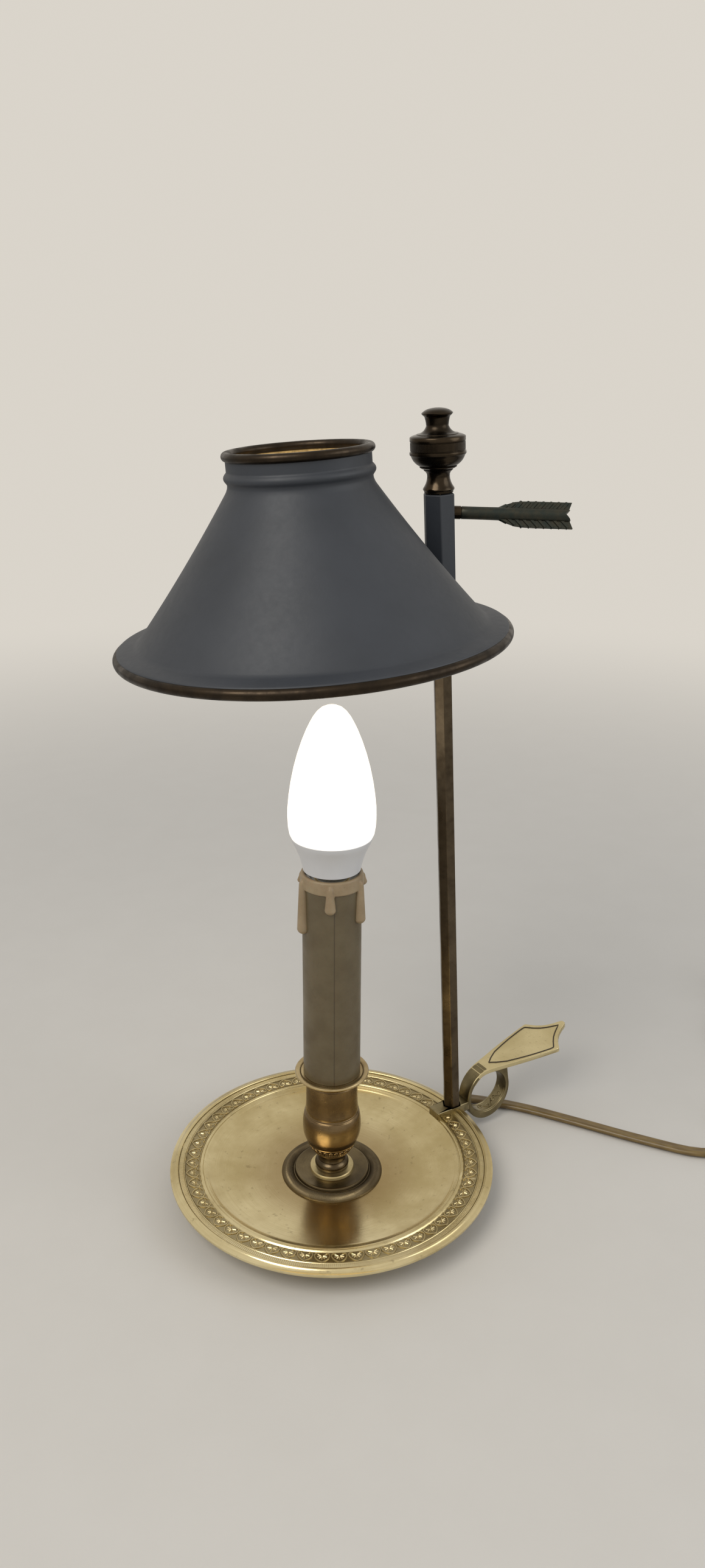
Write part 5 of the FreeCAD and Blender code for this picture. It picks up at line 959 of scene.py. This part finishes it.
apply_modifier(drips, "REMESH", mode="VOXEL", voxel_size=0.00028, use_smooth_shade=True)
apply_modifier(drips, "SMOOTH", factor=0.5, iterations=2)
apply_modifier(drips, "BOOLEAN", operation="DIFFERENCE", object=core_cutter, solver="EXACT")
bpy.data.objects.remove(core_cutter)
bpy.ops.object.shade_smooth_by_angle(angle=math.radians(40))
dress(drips, "lamp", "drip_plastic", drip_wax, "drip_collar")

# %% [markdown]
# ## Bulb
# A modern candle bulb in a warm opal dome on a white plastic foot.  The photograph shows it lit, so
# the dome glows: a plain emission strength, and a colour that warms where the wall is seen edge on.

# %% Turn the bulb's foot and dome
foot_profile = [(10.2, 157.9), (11.7, 157.9), (12.05, 158.1), (12.15, 158.8)]
foot_profile += bow((12.15, 158.8), (16.2, 170.3), 0.45, 10) + [(16.75, 171.6), (16.95, 172.6), (16.75, 172.8),
                                                               (15.4, 172.8), (15.2, 171.4), (10.4, 159.2),
                                                               (10.2, 157.9)]
box_low, box_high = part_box("bulb_base")
print("bulb foot in the model: %.1f to %.1f mm" % (box_low[2] / MM, box_high[2] / MM))
dress(turned("bulb_foot", foot_profile), "bulb", "bulb_white", bulb_white, "bulb_base")
dome_outside = [(16.8, 172.75), (17.5, 174.2), (18.0, 177.4), (18.15, 181.6), (18.05, 185.2), (17.55, 190.2),
                (16.75, 195.6), (15.45, 202.0), (13.95, 207.6), (12.2, 212.9), (10.3, 217.7), (8.9, 220.6),
                (7.6, 223.0), (6.0, 225.2), (4.2, 226.8), (2.2, 227.7), (0.6, 227.95)]
dome_inside = [(0.6, 226.75), (3.9, 225.5), (6.4, 222.4), (9.0, 217.4), (12.7, 207.4), (15.5, 195.6),
               (16.9, 181.6), (16.3, 174.6), (15.6, 172.75)]
dome = turned("bulb_dome_blown", dome_outside + dome_inside + dome_outside[:1], steps=96, smooth_angle=60)
dress(dome, "bulb", "bulb_opal", opal_glow, "bulb_dome")

# %% [markdown]
# ## Handle
# One brass casting: a bar let into the saucer's rim, a finger ring, and a leaf for the thumb.  The
# ring is two loops of corners bridged and made thick; the leaf is one edge drawn out station by
# station and scaled to its width there, and then made thick.

# %% Bar and finger ring
def block(name, low, high):
    clear_selection()
    centre = [(a + b) / 2 * MM for a, b in zip(low, high)]
    bpy.ops.mesh.primitive_cube_add(size=1, location=centre, scale=[(b - a) * MM for a, b in zip(low, high)])
    piece = bpy.context.object
    piece.name = name
    bpy.ops.object.transform_apply(location=True, rotation=True, scale=True)
    return piece


ROD_FOOT, ROD_LEAN, BAR_TOP = 68.2, 3.75, 17.5
rod_place = (Matrix.Translation(Vector((ROD_FOOT, 0, BAR_TOP)) * MM)
             @ Matrix.Rotation(math.radians(-ROD_LEAN), 4, "Y"))
bar = block("handle_bar", (57.5, -3.75, 12.9), (76.6, 3.75, 17.5))
socket = turned("socket_cutter", [(0, -1.5), (4.16, -1.5), (4.16, 6), (0, 6), (0, -1.5)], steps=6,
                placement=rod_place)
apply_modifier(bar, "BOOLEAN", operation="DIFFERENCE", object=socket, solver="EXACT")
bpy.data.objects.remove(socket)
soften(bar, 0.55, segments=3)

RING_MIDDLE, RING_HEIGHT, HOLE_RADIUS, HOLE_HEIGHT = 88.25, 18.2, 10.8, 18.8
outer_loop, inner_loop = [], []
RING_CORNERS = 96
for step in range(RING_CORNERS):
    angle = math.tau * step / RING_CORNERS
    outer = [RING_MIDDLE + 12.9 * math.cos(angle), 0, RING_HEIGHT + 14.0 * math.sin(angle)]
    if 0.15 < angle < 1.05:
        outer[0] = max(outer[0], 101.0 - (outer[2] - 20.0) * 0.16)
    outer_loop.append(outer)
    inner_loop.append((RING_MIDDLE + HOLE_RADIUS * math.cos(angle), 0, HOLE_HEIGHT + HOLE_RADIUS * math.sin(angle)))
draw_row(outer_loop)
bpy.ops.mesh.edge_face_add()
bpy.ops.mesh.delete(type="ONLY_FACE")
bpy.ops.object.mode_set(mode="OBJECT")
ring = bpy.context.object
draw_row(inner_loop)
bpy.ops.mesh.edge_face_add()
bpy.ops.mesh.delete(type="ONLY_FACE")
bpy.ops.object.mode_set(mode="OBJECT")
ring = join_up("handle_ring", [ring, bpy.context.object])
bpy.ops.object.mode_set(mode="EDIT")
bpy.ops.mesh.select_all(action="SELECT")
bpy.ops.mesh.bridge_edge_loops()
bpy.ops.object.mode_set(mode="OBJECT")
apply_modifier(ring, "SOLIDIFY", thickness=7.5 * MM, offset=0)
soften(ring, 0.6, segments=3, angle=50)
print("ring:", len(ring.data.polygons), "faces")

# %% Leaf
LEAF = ((78.0, 26.6, 3.70), (80.0, 28.95, 3.72), (82.5, 30.75, 3.80), (85.0, 31.75, 4.05), (88.0, 32.35, 4.6),
        (92.0, 32.85, 5.55), (97.0, 33.45, 6.85), (102.0, 34.0, 8.15), (107.0, 34.55, 9.35),
        (112.0, 35.1, 10.5), (116.5, 35.6, 11.45), (120.0, 36.0, 12.15), (122.4, 36.25, 12.65),
        (123.6, 36.4, 12.9), (124.4, 36.5, 12.8), (125.0, 36.6, 12.2), (126.0, 36.8, 10.6),
        (127.6, 37.15, 8.3), (129.6, 37.65, 6.1), (132.0, 38.3, 4.3), (134.6, 39.0, 2.9), (136.8, 39.6, 2.1),
        (138.1, 39.95, 1.5), (138.8, 40.12, 0.8))
LEAF_THICKNESS = 2.2


def leaf_top(place):
    """The height of the leaf's top at a place along it."""
    for (start, low, _), (end, high, _) in zip(LEAF, LEAF[1:]):
        if start <= place <= end:
            return low + (high - low) * (place - start) / (end - start)
    return LEAF[-1][1]


draw_row([(LEAF[0][0], -LEAF[0][2] + LEAF[0][2] * 2 * share / 8, LEAF[0][1]) for share in range(9)])
for before, here in zip(LEAF, LEAF[1:]):
    step = Vector((here[0] - before[0], 0, here[1] - before[1])) * MM
    bpy.ops.mesh.extrude_region_move(TRANSFORM_OT_translate={"value": step})
    bpy.ops.transform.resize(value=(1, here[2] / before[2], 1))
leaf = close_up("handle_leaf", smooth_angle=50)
if sum(face.normal.z for face in leaf.data.polygons) < 0:
    leaf.data.flip_normals()
apply_modifier(leaf, "SOLIDIFY", thickness=LEAF_THICKNESS * MM, offset=-1)
soften(leaf, 0.7, segments=3, angle=50, smooth_angle=40)
handle_step = block("handle_step", (96.0, -3.6, 28.6), (99.9, 3.6, 31.9))
soften(handle_step, 0.5, segments=2)
for piece in (bar, ring, handle_step):
    finish_with(piece, ring_bronze)
finish_with(leaf, handle_brass)
handle = join_up("handle_casting", [bar, ring, leaf, handle_step])
bpy.ops.object.shade_smooth_by_angle(angle=math.radians(40))
dress(handle, "lamp", "brass_antique", None, "handle")

# %% [markdown]
# A fine line is engraved inside the leaf's outline and filled with dark wax.  On the inside of the
# ring there is a small chased scroll.  Both are thin rows of wire let into the metal.

# %% Engraved line and chased scroll
half_line = [(90.5, 0.0), (93.5, 2.3), (98.0, 4.9), (104.0, 6.8), (110.0, 8.5), (116.0, 9.9), (120.5, 10.8),
             (122.2, 10.9), (123.0, 10.4), (123.9, 9.3), (125.6, 7.2), (127.8, 4.9), (130.4, 2.9), (133.0, 1.3),
             (135.2, 0.0)]
line_points = half_line + [(x, -y) for x, y in reversed(half_line[:-1])]
engraved = wire_row([(x, y, leaf_top(x) + 0.02) for x, y in line_points], 0.7)
engraved.name = "leaf_line"
engraved.data.name = "leaf_line"
bpy.ops.object.shade_smooth_by_angle(angle=math.radians(60))
dark_line = mottled("dark_line", (0.035, 0.025, 0.012), (0.06, 0.04, 0.02), roughness=(0.5, 0.7), scale=200.0)
dress(engraved, "lamp", "brass_antique", dark_line)


def spiral(middle_x, middle_y, start, sweep, size, count=12):
    """A scroll on the unrolled inside of the ring, as (along, across) in millimetres."""
    corners = []
    for step in range(count + 1):
        share = step / count
        angle = start + sweep * share
        radius = size * (1 - 0.8 * share)
        corners.append((middle_x + radius * math.cos(angle), middle_y + radius * math.sin(angle)))
    return corners


def on_ring_inside(flat):
    corners = []
    for along, across in flat:
        angle = -math.pi / 2 + along / HOLE_RADIUS
        corners.append((RING_MIDDLE + HOLE_RADIUS * math.cos(angle), across,
                        HOLE_HEIGHT + HOLE_RADIUS * math.sin(angle)))
    return corners


scrolls = []
for middle, side in ((-1.5, 1), (2.6, -1), (6.7, 1), (10.8, -1)):
    scrolls.append(wire_row(on_ring_inside(spiral(middle, 0.5 * side, 0.4 * side, side * 7.5, 1.7)), 0.5))
    scrolls.append(wire_row(on_ring_inside([(middle + 1.6, 0.6 * side), (middle + 2.6, -0.6 * side),
                                            (middle + 3.4, -1.4 * side)]), 0.45))
for edge in (-2.9, 2.9):
    scrolls.append(wire_row(on_ring_inside([(step - 8.0, edge) for step in range(0, 24)]), 0.4))
chased = join_up("ring_chasing", scrolls)
bpy.ops.object.shade_smooth_by_angle(angle=math.radians(60))
dress(chased, "lamp", "brass_antique", ring_bronze)

# %% [markdown]
# ## Rod, sleeve and finial
# The rod is hexagonal bar.  A profile spun in six steps gives a hexagon straight away, so the rod and
# the sleeve that slides on it are turned too, and then their edges are rounded.  The rod leans
# inwards a little, so all that sits on it is placed with the rod's own matrix.

# %% Rod and sleeve
ROD_RADIUS = 7.1 / math.sqrt(3)
rod = turned("rod_bar", [(0, -1.5), (ROD_RADIUS, -1.5), (ROD_RADIUS, 291.35), (2.45, 291.35), (2.45, 303.4),
                         (0, 303.4), (0, -1.5)], steps=6, placement=rod_place, smooth_angle=30)
soften(rod, 0.3, segments=3, angle=25)
dress(rod, "lamp", "bronze_dark", rod_brass, "rod")
SLEEVE_RADIUS = 11.4 / math.sqrt(3)
SLEEVE_BORE = 7.26 / math.sqrt(3)
sleeve = turned("sleeve_hexagon", [(SLEEVE_BORE, 246), (SLEEVE_RADIUS, 246), (SLEEVE_RADIUS, 289.8),
                                   (SLEEVE_BORE, 289.8), (SLEEVE_BORE, 246)], steps=6, placement=rod_place,
                smooth_angle=30)
soften(sleeve, 0.4, segments=3, angle=25)
dress(sleeve, "shade_carriage", "shade_paint", shade_paint, "rod_sleeve")

# %% Finial
finial_profile = [(4.2, 290.12), (5.45, 290.12), (5.73, 290.35), (5.75, 290.95), (6.05, 291.15), (6.21, 291.55),
                  (6.1, 292.0)]
finial_profile += bow((6.1, 292.0), (4.42, 296.4), 0.35, 7) + [(4.5, 297.3), (4.9, 298.1), (5.5, 298.6),
                                                               (5.75, 298.85), (5.55, 299.1), (6.5, 299.45),
                                                               (7.25, 299.9), (7.3, 300.15), (7.1, 300.35)]
finial_profile += bow((7.1, 300.35), (10.55, 304.3), -0.55, 8)
finial_profile += [(11.0, 304.75), (11.05, 305.3), (10.95, 305.85), (10.62, 306.0), (10.6, 306.2), (10.74, 306.35),
                   (10.74, 309.3), (10.6, 309.45), (10.62, 309.6), (10.84, 309.75), (10.88, 311.1),
                   (10.7, 311.4), (10.0, 311.75), (9.2, 312.0), (8.3, 312.15), (8.1, 312.4)]
finial_profile += bow((8.1, 312.4), (4.34, 315.3), 0.75, 8) + bow((4.34, 315.3), (4.95, 318.7), 0.12, 5)
finial_profile += [(5.2, 318.9), (5.6, 319.25), (6.0, 319.7), (6.06, 320.0)] + bow((6.06, 320.0), (3.4, 321.5), -0.2, 6)
finial_profile += bow((3.4, 321.5), (0.6, 321.9), -0.08, 4) + [(0, 321.92), (0, 303.8), (2.55, 303.8),
                                                             (2.55, 291.5), (4.2, 291.5), (4.2, 290.12)]
ROD_SHIFT = tuple(rod_place.inverted() @ Vector((0, 0, 0)))


def along_rod(tree, place):
    """The place measured from the rod's foot along its lean."""
    return turned_place(tree, place, ROD_SHIFT, lean=ROD_LEAN)


finial_bronze = aged_brass("finial_bronze", (0.060, 0.044, 0.028), (0.026, 0.020, 0.014), (0.008, 0.007, 0.006),
                           roughness=(0.16, 0.32), marks=0.00001, wear=0.6, patch_scale=70.0,
                           ribs=(150.0, 0.3063, 0.3093, 1.0), place_of=along_rod)
finial = turned("finial_turning", finial_profile, steps=128, placement=rod_place, smooth_angle=35)
dress(finial, "finial", "bronze_dark", finial_bronze, "finial")

# %% [markdown]
# ## Clamping key
# The key that clamps the sleeve is shaped like an arrow: a round shaft, two feathered vanes and a
# notch at its end.  The vanes are thin plates with slanted barbs laid in them.

# %% Arrow key
KEY_HEIGHT, KEY_END, KEY_TILT = 282.6, 53.2, 60
key_place = (rod_place @ Matrix.Translation((0, 0, KEY_HEIGHT * MM)) @ Matrix.Rotation(math.radians(-30), 4, "Z")
             @ Matrix.Rotation(math.radians(5), 4, "Y") @ Matrix.Rotation(math.radians(KEY_TILT), 4, "X"))
shaft_profile = [(0, 3.9), (2.0, 3.9), (2.0, 8.55), (2.3, 8.6), (2.5, 8.9)] + bow((2.5, 8.9), (2.6, 26.0), 0.05, 6)
shaft_profile += [(2.6, 50.8)] + bow((2.6, 50.8), (1.2, 53.1), -0.45, 6) + [(0, 53.2), (0, 3.9)]
shaft = turned("key_shaft", shaft_profile, steps=48, placement=Matrix.Rotation(math.radians(90), 4, "Y"))
draw_row([(49.9, 0, -5), (58.0, 7.5, -5), (58.0, -7.5, -5)])
bpy.ops.mesh.edge_face_add()
bpy.ops.mesh.select_all(action="SELECT")
bpy.ops.mesh.extrude_region_move(TRANSFORM_OT_translate={"value": (0, 0, 10 * MM)})
wedge = close_up("wedge_cutter")
apply_modifier(shaft, "BOOLEAN", operation="DIFFERENCE", object=wedge, solver="EXACT")
bpy.data.objects.remove(wedge)
key_parts = [shaft]
VANE_EDGE = ((22.4, 2.2), (24.5, 2.8), (27.0, 3.9), (30.0, 4.9), (33.0, 5.25), (38.0, 5.4), (53.1, 5.4))
for side in (1, -1):
    draw_row([(22.4, 1.9 * side, 0)] + [(x, y * side, 0) for x, y in VANE_EDGE]
             + [(51.9, 2.3 * side, 0), (51.3, 1.3 * side, 0)])
    bpy.ops.mesh.edge_face_add()
    vane = close_up("vane", smooth_angle=30)
    apply_modifier(vane, "SOLIDIFY", thickness=0.95 * MM, offset=0)
    key_parts.append(vane)
    for number in range(9):
        start = 24.0 + 3.05 * number
        reach = min(5.15, 2.7 + (start - 22.0) * 0.33)
        barb = [(start, 1.9 * side, 0), (start + 1.5, (1.9 + reach) / 2 * side, 0), (start + 2.9, reach * side, 0)]
        key_parts.append(wire_row(barb, 1.9))
key = join_up("arrow_key_cast", key_parts)
key.matrix_world = key_place
clear_selection()
key.select_set(True)
bpy.context.view_layer.objects.active = key
bpy.ops.object.transform_apply(location=True, rotation=True, scale=True)
bpy.ops.object.shade_smooth_by_angle(angle=math.radians(45))
dress(key, "clamp_key", "key_patina", key_patina, "arrow_key")
finish_with(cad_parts["key_boss"], finial_bronze)

# %% [markdown]
# ## Shade
# The shade is one spinning: a wide cone with a narrow brim, a pressed bead, and a neck that
# stays open.  The sleeve goes through its side.  Outside it is painted grey, inside it is cream that
# turns golden brown near the mouth, and both its edges are rolled over dark bronze wire.  Both inside
# finishes also give off a little light: a painted glow that stands for the bulb's light inside the shade.

# %% Spin the shade
SHADE_MIDDLE, SHADE_LEAN, SHADE_LEAN_WAY = (-7.73, 0.69, 252.93), 4.35, 159.67
hinge = Vector((-math.sin(math.radians(SHADE_LEAN_WAY)), math.cos(math.radians(SHADE_LEAN_WAY)), 0))
shade_place = (Matrix.Translation(Vector(SHADE_MIDDLE) * MM)
               @ Matrix.Rotation(math.radians(SHADE_LEAN), 4, hinge))
WALL = 0.7
shade_outside = [(74.4, 2.1), (74.4, 4.35), (74.15, 4.6), (73.7, 4.74), (71.8, 5.2), (68.2, 5.8)]
shade_outside += bow((68.2, 5.8), (66.2, 6.9), 0.18, 4) + bow((66.2, 6.9), (27.75, 58.5), 0.8, 14)
shade_outside += [(27.3, 59.3), (26.85, 60.5), (26.72, 61.6)] + bow((26.72, 61.95), (26.72, 65.95), -1.2, 9)
shade_outside += [(26.7, 66.35), (26.7, 71.6)]
shade_inner = [(26.0, 71.6), (26.0, 66.15), (26.7, 64.95), (26.75, 63.15), (26.05, 61.85), (26.1, 60.65),
               (26.6, 59.1)] + bow((26.95, 58.2), (65.5, 6.5), -0.8, 8) + [(68.0, 5.1), (71.4, 4.55), (73.5, 4.2),
                                                                        (73.5, 2.1)]
shade = turned("shade_spinning", shade_outside + shade_inner + shade_outside[:1], steps=240, placement=shade_place,
               smooth_angle=50)
hole = turned("hole_cutter", [(0, 236), (6.76, 236), (6.76, 289), (0, 289), (0, 236)], steps=6,
              placement=rod_place)
apply_modifier(shade, "BOOLEAN", operation="DIFFERENCE", object=hole, solver="EXACT")
bpy.data.objects.remove(hole)
bpy.ops.object.shade_smooth_by_angle(angle=math.radians(50))
MOUTH_LOW = 53.0
dress(shade, "shade_carriage", "shade_paint", (shade_paint, shade_inside, shade_mouth), "shade_cone",
      "shade_collar")
to_shade = shade_place.inverted()
for face in shade.data.polygons:
    middle = to_shade @ face.center
    facing_in = (to_shade.to_3x3() @ face.normal).dot(Vector((middle.x, middle.y, 0))) < 0
    face.material_index = 0 if not facing_in else 2 if middle.z > MOUTH_LOW * MM else 1
print("shade faces by finish:", [sum(face.material_index == slot for face in shade.data.polygons)
                                 for slot in range(3)])

# %% Rolled edges
for name, node, radius, height, roll in (("shade_foot_roll", "shade_low_edge", 73.945, 2.1, 2.1),
                                         ("shade_mouth_roll", "shade_top_edge", 26.35, 71.6, 1.7)):
    round_section = [(radius + roll * math.cos(math.tau * step / 24), height + roll * math.sin(math.tau * step / 24))
                     for step in range(25)]
    dress(turned(name, round_section, steps=200, placement=shade_place, smooth_angle=80), "shade_carriage",
          "bronze_dark", rim_bronze, node)

# %% [markdown]
# ## Switch and plug
# The in-line switch and the plug are moulded plastic.  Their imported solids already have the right
# forms, so each is copied, its triangles are merged into whole faces, and its edges are rounded.

# %% Rounded copies of the moulded parts
def rounded_copy(node, body, width, slot, material, smooth_angle=35):
    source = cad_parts[node]
    piece = bpy.data.objects.new(node + "_moulding", source.data.copy())
    bpy.context.scene.collection.objects.link(piece)
    clear_selection()
    piece.select_set(True)
    bpy.context.view_layer.objects.active = piece
    bpy.ops.object.mode_set(mode="EDIT")
    bpy.ops.mesh.select_all(action="SELECT")
    bpy.ops.mesh.remove_doubles(threshold=0.000005)
    bpy.ops.mesh.dissolve_limited(angle_limit=math.radians(2))
    bpy.ops.mesh.normals_make_consistent(inside=False)
    bpy.ops.object.mode_set(mode="OBJECT")
    soften(piece, width, segments=3, angle=40, smooth_angle=smooth_angle)
    return dress(piece, body, slot, material, node)


for node, body, width in (("switch_base", "lamp", 0.5), ("switch_cover", "lamp", 0.5),
                          ("switch_rocker", "rocker", 0.3), ("plug_body", "lamp", 0.8)):
    rounded_copy(node, body, width, "switch_plastic", brown_plastic)

# %% [markdown]
# ## Surround and floor finish
# The surround lights the lamp evenly from all sides.  What the camera, and a polished surface, sees
# of it is a plain pale wall.

# %% World and floor
BACKGROUND = (0.70, 0.66, 0.595)
world = bpy.data.worlds.new("surround")
bpy.context.scene.world = world
world.use_nodes = True
tree = world.node_tree
seen = add_node(tree, "ShaderNodeLightPath").outputs
looked_at = maths(tree, "ADD", seen["Is Camera Ray"], seen["Is Glossy Ray"])
looked_at = maths(tree, "ADD", looked_at, seen["Is Transmission Ray"], clamp=True)
surface = tree.nodes["Background"]
tree.links.new(blend_colours(tree, looked_at, (0.95, 0.97, 1.0), BACKGROUND), surface.inputs["Color"])
tree.links.new(add_node(tree, "ShaderNodeMapRange", {"Value": looked_at, "To Min": 0.5,
                                                     "To Max": 1.0}).outputs["Result"],
               surface.inputs["Strength"])
floor_cloth = mottled("floor_cloth", (0.62, 0.59, 0.54), (0.60, 0.57, 0.52), roughness=(0.8, 0.9), scale=30.0)
tree = floor_cloth.node_tree
shader = tree.nodes["Principled BSDF"]
distance = add_node(tree, "ShaderNodeVectorMath", {0: tree.nodes["Texture Coordinate"].outputs["Object"]},
                    operation="LENGTH").outputs["Value"]
far = maths(tree, "MULTIPLY", ramp(tree, distance, 0.35, 1.3),
            add_node(tree, "ShaderNodeLightPath").outputs["Is Camera Ray"])
wall_glow = add_node(tree, "ShaderNodeEmission", {"Color": (*BACKGROUND, 1)}).outputs[0]
faded = add_node(tree, "ShaderNodeMixShader", {0: far, 1: shader.outputs[0], 2: wall_glow}).outputs[0]
tree.links.new(faded, tree.nodes["Material Output"].inputs["Surface"])
finish_with(floor, floor_cloth)

# %% Print the bounding box
low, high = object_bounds()
print("box:", [round(value, 4) for value in low], [round(value, 4) for value in high])
